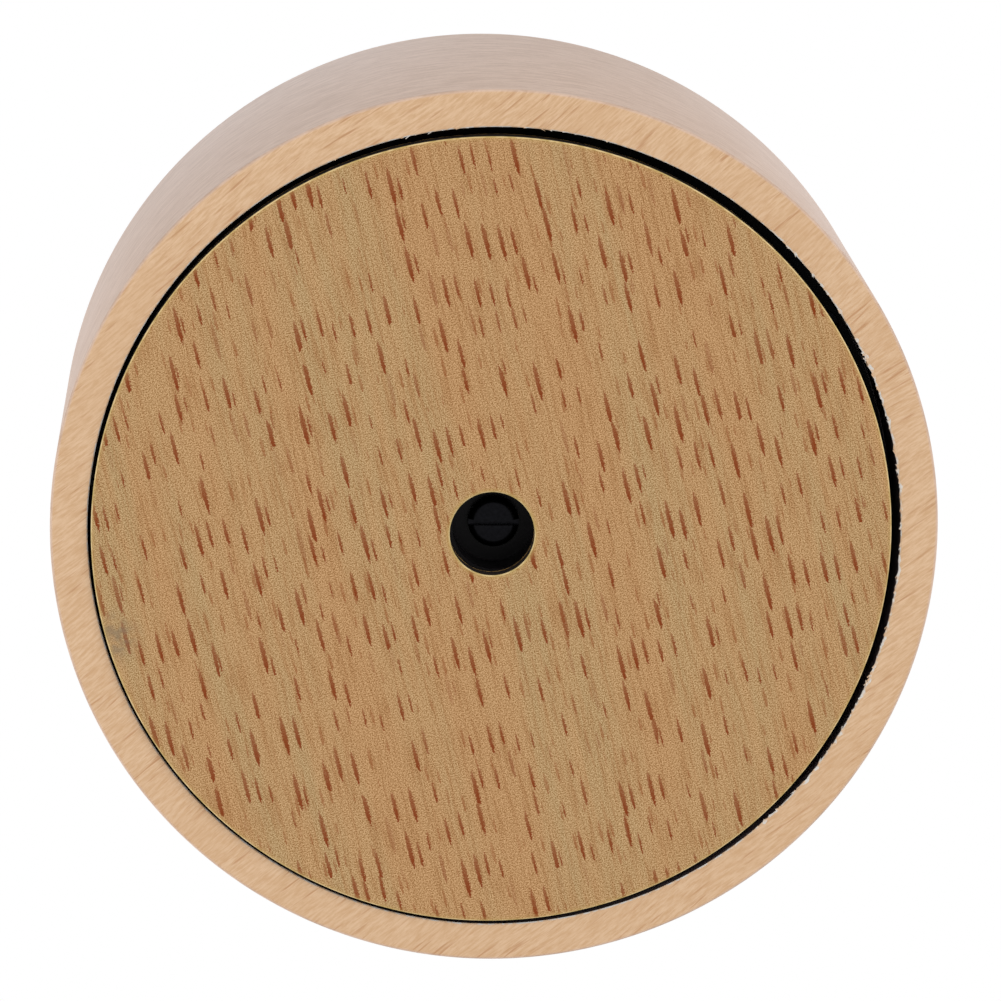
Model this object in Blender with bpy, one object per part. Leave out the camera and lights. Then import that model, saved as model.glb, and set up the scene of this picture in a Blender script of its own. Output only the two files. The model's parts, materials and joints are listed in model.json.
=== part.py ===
# Wooden music box that is wound by the plate under it, standing upright on that plate.
# Metres, +Z up. The origin is where the winding arbor's axis meets the surface it stands on.
#
# A turned beech case holds a clockwork movement. The round board under the case is glued to a
# plastic winding plate, which is screwed to the winding arbor. Turning the plate coils the
# mainspring. The spring then turns the plate, the drive gear, the pinned cylinder and the
# governor's worm and fan, and the pins of the cylinder pluck the steel comb.

import math

import bmesh
import bpy
from mathutils import Vector

MM = 0.001

# Case, turned from one block of beech. Its radii follow from the movement that it is bored for.
CASE_HEIGHT = 45.0 * MM
CASE_WALL = 3.8 * MM
CASE_TOP = 6.0 * MM
CASE_ARRIS = 0.6 * MM
CASE_STEP = 3.7 * MM

# Base board, the face that shows from below
DISC_THICKNESS = 2.0 * MM
DISC_GAP = 0.68 * MM
DISC_PROUD = 0.6 * MM
DISC_OFF_X = -0.33 * MM
DISC_OFF_Y = 0.2 * MM
HOLE_RADIUS = 4.3 * MM

# Winding plate, moulded in black plastic
GLUE = 0.05 * MM
PLATE_THICKNESS = 2.0 * MM
PLATE_INSET = 2.0 * MM
PLATE_RIM_WALL = 1.8 * MM
PLATE_RIM_HEIGHT = 5.6 * MM
WELL_DEPTH = 6.2 * MM
WELL_FLOOR = 1.5 * MM
HUB_RADIUS = 7.0 * MM
HUB_HEIGHT = 9.6 * MM
RIB_COUNT = 6
RIB_THICKNESS = 1.2 * MM
RIB_HEIGHT = 3.0 * MM

# Fits between pieces
SEAT = 0.05 * MM
SHAFT_PLAY = 0.06 * MM
SCREW_PLAY = 0.08 * MM
OVERRUN = 1.0 * MM
BITE = 0.2 * MM

# Mounting board, screwed up against the step of the bore
BOARD_PLAY = 0.2 * MM
BOARD_THICKNESS = 2.0 * MM
BOARD_RUN = 0.35 * MM
BOARD_HOLE = HUB_RADIUS + OVERRUN
SOUND_HOLE_RADIUS = 3.0 * MM
SOUND_HOLE_INSET = 7.0 * MM
SOUND_HOLE_DEGREES = (62.0, 118.0, 242.0, 298.0)

# Screws: head radius, head height, shank radius, shank length
CASE_SCREW = (1.5 * MM, 0.9 * MM, 0.8 * MM, 7.5 * MM)
CASE_SCREW_INSET = 1.6 * MM
CASE_SCREW_DEGREES = (90.0, 210.0, 330.0)
MOVEMENT_SCREW = (2.1 * MM, 1.1 * MM, 1.1 * MM, 3.4 * MM)
HOUSING_SCREW = (1.8 * MM, 1.0 * MM, 0.8 * MM, 3.6 * MM)
COMB_SCREW = (1.9 * MM, 1.1 * MM, 1.0 * MM, 5.0 * MM)
BRACKET_SCREW = (1.2 * MM, 0.7 * MM, 0.6 * MM, 2.4 * MM)
PLATE_SCREW = (2.6 * MM, 1.5 * MM, 1.2 * MM, 7.6 * MM)
SLOT_WIDTH = 0.5 * MM
SLOT_DEPTH = 0.5 * MM

# Winding arbor and its bush
ARBOR_RADIUS = 2.5 * MM
ARBOR_FLAT = 2.0 * MM
ARBOR_PIVOT = 1.5 * MM
ARBOR_PIVOT_LENGTH = 1.6 * MM
BUSH_WALL = 1.45 * MM
BUSH_FLANGE = 1.1 * MM
BUSH_FLANGE_THICKNESS = 0.6 * MM
RING_WIDTH = 1.3 * MM
RING_THICKNESS = 0.5 * MM
RING_MOUTH_DEGREES = 50.0

# Bedplate of the movement
BED_THICKNESS = 2.0 * MM
BED_MARGIN = 1.1 * MM
BED_FRONT_MARGIN = 0.7 * MM
BED_CORNER = 8.0 * MM
BED_PLAY = 0.73 * MM
MOVEMENT_SCREW_OUT = 5.5 * MM
MOVEMENT_SCREW_DEGREES = (135.0, 225.0)
MOVEMENT_SCREW_ALONG = 6.0 * MM
MOVEMENT_SCREW_INSET = 3.8 * MM

# Drive gear, a crown wheel round the foot of the arbor
CROWN_TEETH = 36
CROWN_GAP = 0.65 * MM
CROWN_FACE = 1.3 * MM
CROWN_PLATE = 1.3 * MM
CROWN_RUN = 0.3 * MM
CROWN_HUB_PLAY = 0.15 * MM
CROWN_TOOTH_SHARE = 0.33
TOOTH_TOP_SHARE = 0.62
TOOTH_FOOT_SHARE = 1.35

# Ratchet wheel on the arbor and click on the drive gear
RATCHET_TEETH = 12
RATCHET_RADIUS = 4.7 * MM
RATCHET_DEPTH = 0.8 * MM
RATCHET_THICKNESS = 0.5 * MM
RATCHET_RUN = 0.15 * MM
CLICK_REACH = 4.2 * MM
CLICK_WIDTH = 1.1 * MM
CLICK_PIN = 0.45 * MM
CLICK_PLAY = 0.12 * MM

# Spring housing, its cover and the mainspring
HOUSING_RADIUS = 9.5 * MM
HOUSING_WALL = 0.6 * MM
HOUSING_HEIGHT = 9.0 * MM
HOUSING_RUN = 0.9 * MM
EAR_RADIUS = 2.6 * MM
EAR_THICKNESS = 1.2 * MM
EAR_LIFT = 1.0 * MM
EAR_OUT = 4.5 * MM
EAR_MARGIN = 2.8 * MM
POST_RADIUS = 2.1 * MM
COVER_THICKNESS = 0.4 * MM
SPRING_TURN_COUNT = 7
SPRING_POINT_COUNT = 16
SPRING_STRIP = 0.25 * MM
SPRING_HEIGHT = 6.4 * MM
SPRING_ARBOR_GAP = 0.3 * MM
SPRING_WALL_GAP = 0.3 * MM

# Pinned cylinder along +X, with its pinion, plug, wheel and arbor
PINION_TEETH = 18
PINION_TOOTH_SHARE = 0.38
CYLINDER_RADIUS = 6.0 * MM
CYLINDER_WALL = 0.6 * MM
CYLINDER_LENGTH = 13.6 * MM
CYLINDER_ARBOR = 0.9 * MM
PIN_HEIGHT = 0.35 * MM
PIN_WIDTH = 0.24 * MM
PIN_ROW_COUNT = 32
PLUG_THICKNESS = 1.5 * MM
WHEEL_TEETH = 40
WHEEL_MODULE = 0.3 * MM
WHEEL_FACE = 1.2 * MM
WHEEL_GAP = 0.25 * MM
GEAR_TOOTH_SHARE = 0.36
MESH_PLAY = 0.05 * MM

# Bearing post of the bedplate for the cylinder's inner end
BEARING_GAP = 0.55 * MM
BEARING_RUN = 0.7 * MM
BEARING_THICKNESS = 1.3 * MM
BEARING_HALF_WIDTH = 2.6 * MM
BEARING_CROWN = 2.2 * MM

# Comb
COMB_TEETH = 18
COMB_TOOTH_WIDTH = 0.46 * MM
COMB_TOOTH_THICKNESS = 0.7 * MM
COMB_THICKNESS = 1.6 * MM
COMB_SHORT = 7.6 * MM
COMB_LONG = 10.6 * MM
COMB_ROOT = 4.93 * MM
COMB_TIP_GAP = 0.12 * MM
COMB_SCREW_INSET = 2.6 * MM
COMB_BOSS = 4.4 * MM

# Governor: train arbor with its pinion, worm wheel, worm and fan
TRAIN_TEETH = 8
TRAIN_ARBOR = 0.45 * MM
WORM_WHEEL_TEETH = 20
WORM_WHEEL_MODULE = 0.32 * MM
WORM_WHEEL_FACE = 1.0 * MM
WORM_WHEEL_GAP = 0.45 * MM
WORM_RADIUS = 1.3 * MM
WORM_TURN_COUNT = 4
WORM_POINT_COUNT = 16
WORM_THREAD_SHARE = 0.28
THREAD_FOOT_SHARE = 1.5
WORM_PIVOT = 0.4 * MM
FAN_RADIUS = 3.6 * MM
FAN_HEIGHT = 3.6 * MM
FAN_BLADE = 0.35 * MM
FAN_HUB = 1.0 * MM
FAN_LIFT = 3.6 * MM

# Brackets of the train and of the governor
BRACKET_GAP = 0.3 * MM
BRACKET_SHEET = 0.9 * MM
BRACKET_FOOT = 1.0 * MM
BRACKET_HALF_WIDTH = 2.0 * MM
BRACKET_CROWN = 2.0 * MM
FRAME_WALL = 0.9 * MM
FRAME_HALF_WIDTH = 1.5 * MM
FRAME_CLEAR = 0.4 * MM
FRAME_LUG = 1.0 * MM
FRAME_HEAD_ROOM = 0.8 * MM

# Levels up the axis, each one standing on the piece below it
RIM_LEVEL = DISC_PROUD
CASE_TOP_LEVEL = RIM_LEVEL + CASE_HEIGHT
CEILING_LEVEL = CASE_TOP_LEVEL - CASE_TOP
PLATE_LEVEL = DISC_THICKNESS + GLUE
HUB_TOP_LEVEL = PLATE_LEVEL + HUB_HEIGHT
PLATE_RIM_LEVEL = PLATE_LEVEL + PLATE_THICKNESS + PLATE_RIM_HEIGHT
BOARD_LEVEL = PLATE_RIM_LEVEL + BOARD_RUN
STEP_LEVEL = BOARD_LEVEL + BOARD_THICKNESS + SEAT
BED_LEVEL = STEP_LEVEL
BED_TOP_LEVEL = BED_LEVEL + BED_THICKNESS
SOCKET_LEVEL = WELL_DEPTH + WELL_FLOOR
ARBOR_LEVEL = SOCKET_LEVEL + SEAT
BUSH_TOP_LEVEL = BED_TOP_LEVEL + SEAT + BUSH_FLANGE_THICKNESS
CROWN_LEVEL = BUSH_TOP_LEVEL + CROWN_RUN
CROWN_TOP_LEVEL = CROWN_LEVEL + CROWN_PLATE
RATCHET_LEVEL = CROWN_TOP_LEVEL + RATCHET_RUN
HOUSING_LEVEL = CROWN_TOP_LEVEL + HOUSING_RUN
HOUSING_TOP_LEVEL = HOUSING_LEVEL + HOUSING_HEIGHT
EAR_LEVEL = HOUSING_LEVEL + EAR_LIFT
ARBOR_SHOULDER_LEVEL = HOUSING_TOP_LEVEL - HOUSING_WALL - SEAT
ARBOR_TOP_LEVEL = ARBOR_SHOULDER_LEVEL + ARBOR_PIVOT_LENGTH
COVER_LEVEL = HOUSING_LEVEL + SEAT
SPRING_LEVEL = COVER_LEVEL + COVER_THICKNESS + SEAT

# Places out from the arbor's axis, each one beside the piece before it
EAR_SPREAD = HOUSING_RADIUS + EAR_OUT
CROWN_INNER = HOUSING_RADIUS + CROWN_GAP
CROWN_OUTER = CROWN_INNER + CROWN_FACE
CROWN_MODULE = (CROWN_INNER + CROWN_OUTER) / CROWN_TEETH
BEARING_START = CROWN_OUTER + BEARING_GAP
CYLINDER_START = BEARING_START + BEARING_THICKNESS + BEARING_RUN

# Tooth heights in modules, and the pitch sizes that follow from the tooth counts
ADDENDUM_SHARE = 0.9
DEDENDUM_SHARE = 1.15
CROWN_PITCH_LEVEL = CROWN_TOP_LEVEL + DEDENDUM_SHARE * CROWN_MODULE
PINION_PITCH = CROWN_MODULE * PINION_TEETH / 2
CYLINDER_LEVEL = CROWN_PITCH_LEVEL + PINION_PITCH + MESH_PLAY
CYLINDER_END = CYLINDER_START + CYLINDER_LENGTH
WHEEL_START = CYLINDER_END + WHEEL_GAP
WHEEL_PITCH = WHEEL_MODULE * WHEEL_TEETH / 2
TRAIN_PITCH = WHEEL_MODULE * TRAIN_TEETH / 2
TRAIN_Y = -(WHEEL_PITCH + TRAIN_PITCH + MESH_PLAY)
BRACKET_START = WHEEL_START + WHEEL_FACE + BRACKET_GAP
WORM_WHEEL_START = BRACKET_START + BRACKET_SHEET + WORM_WHEEL_GAP
WORM_WHEEL_PITCH = WORM_WHEEL_MODULE * WORM_WHEEL_TEETH / 2
WORM_X = WORM_WHEEL_START + WORM_WHEEL_FACE / 2
WORM_Y = TRAIN_Y - WORM_WHEEL_PITCH - WORM_RADIUS - MESH_PLAY
WORM_LEAD = math.pi * WORM_WHEEL_MODULE
OUTER_BRACKET_START = WORM_WHEEL_START + WORM_WHEEL_FACE + BRACKET_GAP
FAN_LEVEL = CYLINDER_LEVEL + FAN_LIFT
FRAME_LUG_LEVEL = FAN_LEVEL + FAN_HEIGHT + FRAME_HEAD_ROOM
FRAME_Y = WORM_Y - FAN_RADIUS - FRAME_CLEAR - FRAME_WALL
COMB_TIP_Y = CYLINDER_RADIUS + PIN_HEIGHT + COMB_TIP_GAP
COMB_BACK = COMB_TIP_Y + COMB_LONG + COMB_ROOT
COMB_UNDER_LEVEL = CYLINDER_LEVEL - COMB_THICKNESS

# Edges of the bedplate, and the radii that follow from its far corner
BED_LEFT = -EAR_SPREAD
BED_RIGHT = OUTER_BRACKET_START + BRACKET_SHEET + BED_MARGIN
BED_FRONT = FRAME_Y - BED_FRONT_MARGIN
BED_BACK = COMB_BACK + OVERRUN
BED_SIDE = EAR_SPREAD + EAR_MARGIN
BED_CORNER_Y = BED_BACK - BED_CORNER - OVERRUN
CAVITY_RADIUS = math.hypot(BED_RIGHT, BED_CORNER_Y) + BED_PLAY
BORE_RADIUS = CAVITY_RADIUS + CASE_STEP
CASE_RADIUS = BORE_RADIUS + CASE_WALL
BOARD_RADIUS = BORE_RADIUS - BOARD_PLAY
DISC_RADIUS = BORE_RADIUS - DISC_GAP
PLATE_RADIUS = DISC_RADIUS - PLATE_INSET
SOUND_HOLE_CIRCLE = CAVITY_RADIUS - SOUND_HOLE_INSET

# Sides of the round shapes, steps of their arcs, and a whole turn
LARGE_SIDES = 72
MEDIUM_SIDES = 32
SMALL_SIDES = 16
TINY_SIDES = 12
ARC_STEP_COUNT = 8
ARRIS_STEP_COUNT = 3
TURN_DEGREES = 360.0
HALF_TURN_DEGREES = TURN_DEGREES / 2


def clear_scene():
    for old in list(bpy.data.objects):
        bpy.data.objects.remove(old, do_unlink=True)


def material(name, colour, roughness, metallic=0.0):
    made = bpy.data.materials.new(name)
    made.use_nodes = True
    shader = made.node_tree.nodes["Principled BSDF"]
    shader.inputs["Base Color"].default_value = (*colour, 1.0)
    shader.inputs["Roughness"].default_value = roughness
    shader.inputs["Metallic"].default_value = metallic
    return made


def axis_empty(name, x, y, z):
    """An empty on a joint's axis, which the pieces that turn there are parented to."""
    empty = bpy.data.objects.new(name, None)
    bpy.context.scene.collection.objects.link(empty)
    empty.location = (x, y, z)
    return empty


def piece(name, shape, finish, parent=None):
    """Turns a bmesh into a named object with one material, shaded smooth up to its edges."""
    bmesh.ops.recalc_face_normals(shape, faces=shape.faces)
    mesh = bpy.data.meshes.new(name)
    shape.to_mesh(mesh)
    shape.free()
    mesh.materials.append(finish)
    mesh.shade_smooth()
    mesh.set_sharp_from_angle(angle=math.radians(30.0))
    made = bpy.data.objects.new(name, mesh)
    bpy.context.scene.collection.objects.link(made)
    made.parent = parent
    return made


def combine(body, tool_shape, operation, name):
    """Adds a Boolean to body, whose tool is a hidden helper that shares body's place."""
    tool = piece(name, tool_shape, body.data.materials[0], body)
    tool.hide_render = True
    tool.display_type = "WIRE"
    boolean = body.modifiers.new(name, "BOOLEAN")
    boolean.operation = operation
    boolean.object = tool
    return body


def cut(body, tool_shape, name):
    return combine(body, tool_shape, "DIFFERENCE", name)


def join(body, tool_shape, name):
    return combine(body, tool_shape, "UNION", name)


def turned(outlines, sides):
    """A bmesh turned about Z. Each outline is a closed list of (radius, height)."""
    shape = bmesh.new()
    for outline in outlines:
        points = [shape.verts.new((radius, 0.0, height)) for radius, height in outline]
        edges = []
        for first, second in zip(points, points[1:] + points[:1]):
            if first.co.x > 0 or second.co.x > 0:
                edges.append(shape.edges.new((first, second)))
        bmesh.ops.spin(
            shape,
            geom=points + edges,
            cent=(0, 0, 0),
            axis=(0, 0, 1),
            angle=2 * math.pi,
            steps=sides,
            use_merge=True,
        )
    bmesh.ops.remove_doubles(shape, verts=shape.verts, dist=GLUE * MM)
    return shape


def rod(radius, low, high):
    """The outline of a plain round bar."""
    return [(0, low), (radius, low), (radius, high), (0, high)]


def tube(inner, outer, low, high):
    """The outline of a ring with a square section."""
    return [(inner, low), (outer, low), (outer, high), (inner, high)]


def slab(shape, outline, low, high):
    """Adds an upright prism to a bmesh. The outline is a list of (x, y)."""
    face = shape.faces.new([shape.verts.new((x, y, low)) for x, y in outline])
    raised = bmesh.ops.extrude_face_region(shape, geom=[face])
    top = [item for item in raised["geom"] if isinstance(item, bmesh.types.BMVert)]
    bmesh.ops.translate(shape, verts=top, vec=(0, 0, high - low))
    return shape


def box(shape, x_low, x_high, y_low, y_high, low, high):
    corners = [(x_low, y_low), (x_high, y_low), (x_high, y_high), (x_low, y_high)]
    return slab(shape, corners, low, high)


def arc(x, y, radius, start, end, steps):
    """Points (x, y) along an arc, with its angles in degrees."""
    turns = [math.radians(start + (end - start) * step / steps) for step in range(steps + 1)]
    return [(x + radius * math.cos(turn), y + radius * math.sin(turn)) for turn in turns]


def circle(x, y, radius, sides):
    """The corners (x, y) of a round outline."""
    return arc(x, y, radius, 0, TURN_DEGREES * (sides - 1) / sides, sides - 1)


def polar(radius, degrees):
    turn = math.radians(degrees)
    return radius * math.cos(turn), radius * math.sin(turn)


def rods_at(places, radius, low, high, sides=SMALL_SIDES):
    """One bmesh with an upright round bar at each place."""
    shape = bmesh.new()
    for x, y in places:
        slab(shape, circle(x, y, radius, sides), low, high)
    return shape


def gear_outline(teeth, module, tooth_share, phase):
    """A spur gear's outline. phase is where the first tooth stands, in tooth pitches."""
    pitch_radius = module * teeth / 2
    tip = pitch_radius + ADDENDUM_SHARE * module
    root = pitch_radius - DEDENDUM_SHARE * module
    step = 2 * math.pi / teeth
    half = tooth_share * step / 2
    outline = []
    for tooth in range(teeth):
        middle = (tooth + phase) * step
        spread = ((root, -TOOTH_FOOT_SHARE), (tip, -TOOTH_TOP_SHARE), (tip, TOOTH_TOP_SHARE),
                  (root, TOOTH_FOOT_SHARE))
        for radius, share in spread:
            # A flank narrows towards the tip, so the half width is scaled at each radius.
            turn = middle + share * half * pitch_radius / radius
            outline.append((radius * math.cos(turn), radius * math.sin(turn)))
    return outline


def screw_shape(sizes, countersunk=False):
    """A slotted screw, head up, with the underside of its head at height zero."""
    head, head_height, shank, length = sizes
    if countersunk:
        outline = [(0, -length), (shank, -length), (shank, -head_height), (head, 0), (0, 0)]
    else:
        rim = head_height / 2
        outline = [(0, -length), (shank, -length), (shank, 0), (head, 0), (head, rim)]
        outline += [(head - rim, head_height), (0, head_height)]
    return turned([outline], SMALL_SIDES)


def add_screw(name, sizes, x, y, z, finish, countersunk=False, upside_down=False, parent=None):
    head, head_height = sizes[0], sizes[1]
    screw = piece(name, screw_shape(sizes, countersunk), finish, parent)
    top = 0 if countersunk else head_height
    slot = box(bmesh.new(), -head - OVERRUN, head + OVERRUN, -SLOT_WIDTH / 2, SLOT_WIDTH / 2,
               top - SLOT_DEPTH, top + OVERRUN)
    cut(screw, slot, name + "_slot")
    screw.location = (x, y, z)
    if upside_down:
        screw.rotation_euler = (math.pi, 0, 0)
    return screw


def make_case(beech):
    """The turned cup: rim, stepped bore for the mounting board, cavity and closed top."""
    quarter = [math.pi / 2 * step / ARRIS_STEP_COUNT for step in range(ARRIS_STEP_COUNT + 1)]
    centre = CASE_RADIUS - CASE_ARRIS
    low = [(centre + CASE_ARRIS * math.sin(turn), RIM_LEVEL + CASE_ARRIS * (1 - math.cos(turn)))
           for turn in quarter]
    high = [(centre + CASE_ARRIS * math.cos(turn),
             CASE_TOP_LEVEL - CASE_ARRIS * (1 - math.sin(turn))) for turn in quarter]
    inside = [(0, CEILING_LEVEL), (CAVITY_RADIUS, CEILING_LEVEL), (CAVITY_RADIUS, STEP_LEVEL),
              (BORE_RADIUS, STEP_LEVEL), (BORE_RADIUS, RIM_LEVEL)]
    outline = low + high + [(0, CASE_TOP_LEVEL)] + inside
    case = piece("case_shell", turned([outline], LARGE_SIDES), beech)
    pilots = rods_at(case_screw_places(), CASE_SCREW[2] + SCREW_PLAY, STEP_LEVEL - OVERRUN,
                     BOARD_LEVEL + CASE_SCREW[3] + OVERRUN)
    cut(case, pilots, "case_pilot_holes")


def case_screw_places():
    circle = CAVITY_RADIUS + CASE_SCREW_INSET
    return [polar(circle, degrees) for degrees in CASE_SCREW_DEGREES]


def make_disc(board, turntable):
    outline = tube(HOLE_RADIUS, DISC_RADIUS, 0, DISC_THICKNESS)
    disc = piece("base_disc", turned([outline], LARGE_SIDES), board, turntable)
    disc.location = (DISC_OFF_X, DISC_OFF_Y, 0)


def arbor_flats(radius, flat):
    """The section of the arbor's lower end: a round bar with two flats."""
    half = math.degrees(math.acos(flat / radius))
    back = arc(0, 0, radius, half, HALF_TURN_DEGREES - half, ARC_STEP_COUNT)
    return back + arc(0, 0, radius, HALF_TURN_DEGREES + half, TURN_DEGREES - half, ARC_STEP_COUNT)


def make_plate(plastic, turntable):
    """The winding plate: a disc with a rim, ribs, and a hub with the screw's well below."""
    top = PLATE_LEVEL + PLATE_THICKNESS
    rim_inner = PLATE_RADIUS - PLATE_RIM_WALL
    outline = [
        (HOLE_RADIUS, PLATE_LEVEL), (PLATE_RADIUS, PLATE_LEVEL), (PLATE_RADIUS, PLATE_RIM_LEVEL),
        (rim_inner, PLATE_RIM_LEVEL), (rim_inner, top), (HUB_RADIUS, top),
        (HUB_RADIUS, HUB_TOP_LEVEL), (0, HUB_TOP_LEVEL), (0, WELL_DEPTH), (HOLE_RADIUS, WELL_DEPTH),
    ]
    plate = piece("winding_plate", turned([outline], LARGE_SIDES), plastic, turntable)
    ribs = bmesh.new()
    for rib in range(RIB_COUNT):
        turn = 2 * math.pi * rib / RIB_COUNT
        along, side = Vector((math.cos(turn), math.sin(turn))), Vector((-math.sin(turn), math.cos(turn)))
        half = side * RIB_THICKNESS / 2
        start, end = along * (HUB_RADIUS - BITE), along * (rim_inner + BITE)
        corners = [start - half, end - half, end + half, start + half]
        slab(ribs, [tuple(corner) for corner in corners], top - BITE, top + RIB_HEIGHT)
    join(plate, ribs, "plate_ribs")
    socket = slab(bmesh.new(), arbor_flats(ARBOR_RADIUS + SHAFT_PLAY, ARBOR_FLAT + SHAFT_PLAY),
                  SOCKET_LEVEL, HUB_TOP_LEVEL + OVERRUN)
    cut(plate, socket, "arbor_socket")
    hole = turned([rod(PLATE_SCREW[2] + SCREW_PLAY, WELL_DEPTH - OVERRUN, SOCKET_LEVEL + OVERRUN)], SMALL_SIDES)
    cut(plate, hole, "plate_screw_hole")


def make_arbor(steel, turntable):
    """Flats for the plate, a round body, and a pivot in the roof of the housing."""
    body = [(0, ARBOR_LEVEL), (ARBOR_RADIUS, ARBOR_LEVEL), (ARBOR_RADIUS, ARBOR_SHOULDER_LEVEL),
            (ARBOR_PIVOT, ARBOR_SHOULDER_LEVEL), (ARBOR_PIVOT, ARBOR_TOP_LEVEL), (0, ARBOR_TOP_LEVEL)]
    arbor = piece("winding_arbor", turned([body], MEDIUM_SIDES), steel, turntable)
    sides = bmesh.new()
    reach = ARBOR_RADIUS + OVERRUN
    for sign in (-1, 1):
        near, far = sorted((sign * ARBOR_FLAT, sign * reach))
        box(sides, near, far, -reach, reach, ARBOR_LEVEL - OVERRUN, HUB_TOP_LEVEL)
    cut(arbor, sides, "arbor_flats")
    thread = turned([rod(PLATE_SCREW[2] + SCREW_PLAY, ARBOR_LEVEL - OVERRUN,
                         WELL_DEPTH + PLATE_SCREW[3] + SCREW_PLAY)], SMALL_SIDES)
    cut(arbor, thread, "arbor_thread")


def make_bush(brass):
    inner = ARBOR_RADIUS + SHAFT_PLAY
    outer = inner + BUSH_WALL
    flange = outer + BUSH_FLANGE
    seat = BED_TOP_LEVEL + SEAT
    outline = [(inner, BED_LEVEL + SEAT), (outer, BED_LEVEL + SEAT), (outer, seat), (flange, seat),
               (flange, BUSH_TOP_LEVEL), (inner, BUSH_TOP_LEVEL)]
    piece("arbor_bush", turned([outline], MEDIUM_SIDES), brass)


def make_retaining_ring(steel, turntable):
    """An open ring that snaps round the pivot above the housing."""
    inner = ARBOR_PIVOT + SHAFT_PLAY
    outer = inner + RING_WIDTH
    start, end = RING_MOUTH_DEGREES / 2, TURN_DEGREES - RING_MOUTH_DEGREES / 2
    outside = arc(0, 0, outer, start, end, SMALL_SIDES)
    outline = outside + list(reversed(arc(0, 0, inner, start, end, SMALL_SIDES)))
    low = HOUSING_TOP_LEVEL + SEAT
    piece("retaining_ring", slab(bmesh.new(), outline, low, low + RING_THICKNESS), steel, turntable)


def movement_screw_places():
    """Two beside the spring housing and one beyond it, under the cylinder."""
    circle = HOUSING_RADIUS + MOVEMENT_SCREW_OUT
    near = [polar(circle, degrees) for degrees in MOVEMENT_SCREW_DEGREES]
    return near + [(CYLINDER_START + MOVEMENT_SCREW_ALONG, BED_FRONT + MOVEMENT_SCREW_INSET)]


def make_board(plastic):
    """The black board that closes the case and carries the movement."""
    outline = tube(BOARD_HOLE, BOARD_RADIUS, BOARD_LEVEL, BOARD_LEVEL + BOARD_THICKNESS)
    board = piece("mounting_board", turned([outline], LARGE_SIDES), plastic)
    holes = rods_at([polar(SOUND_HOLE_CIRCLE, degrees) for degrees in SOUND_HOLE_DEGREES],
                    SOUND_HOLE_RADIUS, BOARD_LEVEL - OVERRUN, STEP_LEVEL + OVERRUN)
    cut(board, holes, "sound_holes")
    pilots = rods_at(movement_screw_places(), MOVEMENT_SCREW[2] + SCREW_PLAY,
                     BOARD_LEVEL - OVERRUN, STEP_LEVEL + OVERRUN, TINY_SIDES)
    cut(board, pilots, "movement_pilot_holes")
    sinks = bmesh.new()
    head, head_height, shank, _ = CASE_SCREW
    for x, y in case_screw_places():
        sink = turned([[(0, -OVERRUN), (head + SCREW_PLAY, -OVERRUN), (head + SCREW_PLAY, 0),
                        (shank + SCREW_PLAY, head_height), (shank + SCREW_PLAY, BOARD_THICKNESS + OVERRUN),
                        (0, BOARD_THICKNESS + OVERRUN)]], SMALL_SIDES)
        bmesh.ops.translate(sink, verts=sink.verts, vec=(x, y, BOARD_LEVEL))
        held = bpy.data.meshes.new("sink")
        sink.to_mesh(held)
        sink.free()
        sinks.from_mesh(held)
    cut(board, sinks, "case_screw_sinks")


def comb_places():
    """Middle of each comb tooth along the cylinder, from the long bass tooth to the short one."""
    pitch = CYLINDER_LENGTH / (COMB_TEETH + 1)
    return [CYLINDER_START + pitch * (tooth + 1) for tooth in range(COMB_TEETH)]


def comb_screw_places():
    y = COMB_BACK - COMB_SCREW_INSET
    return [(CYLINDER_START + COMB_SCREW_INSET, y), (CYLINDER_END - COMB_SCREW_INSET, y)]


def bracket_screw_place():
    return (BRACKET_START + OUTER_BRACKET_START) / 2 + BRACKET_SHEET, 0


def frame_screw_place():
    return WORM_X, (FRAME_Y + FRAME_WALL + WORM_Y) / 2


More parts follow.
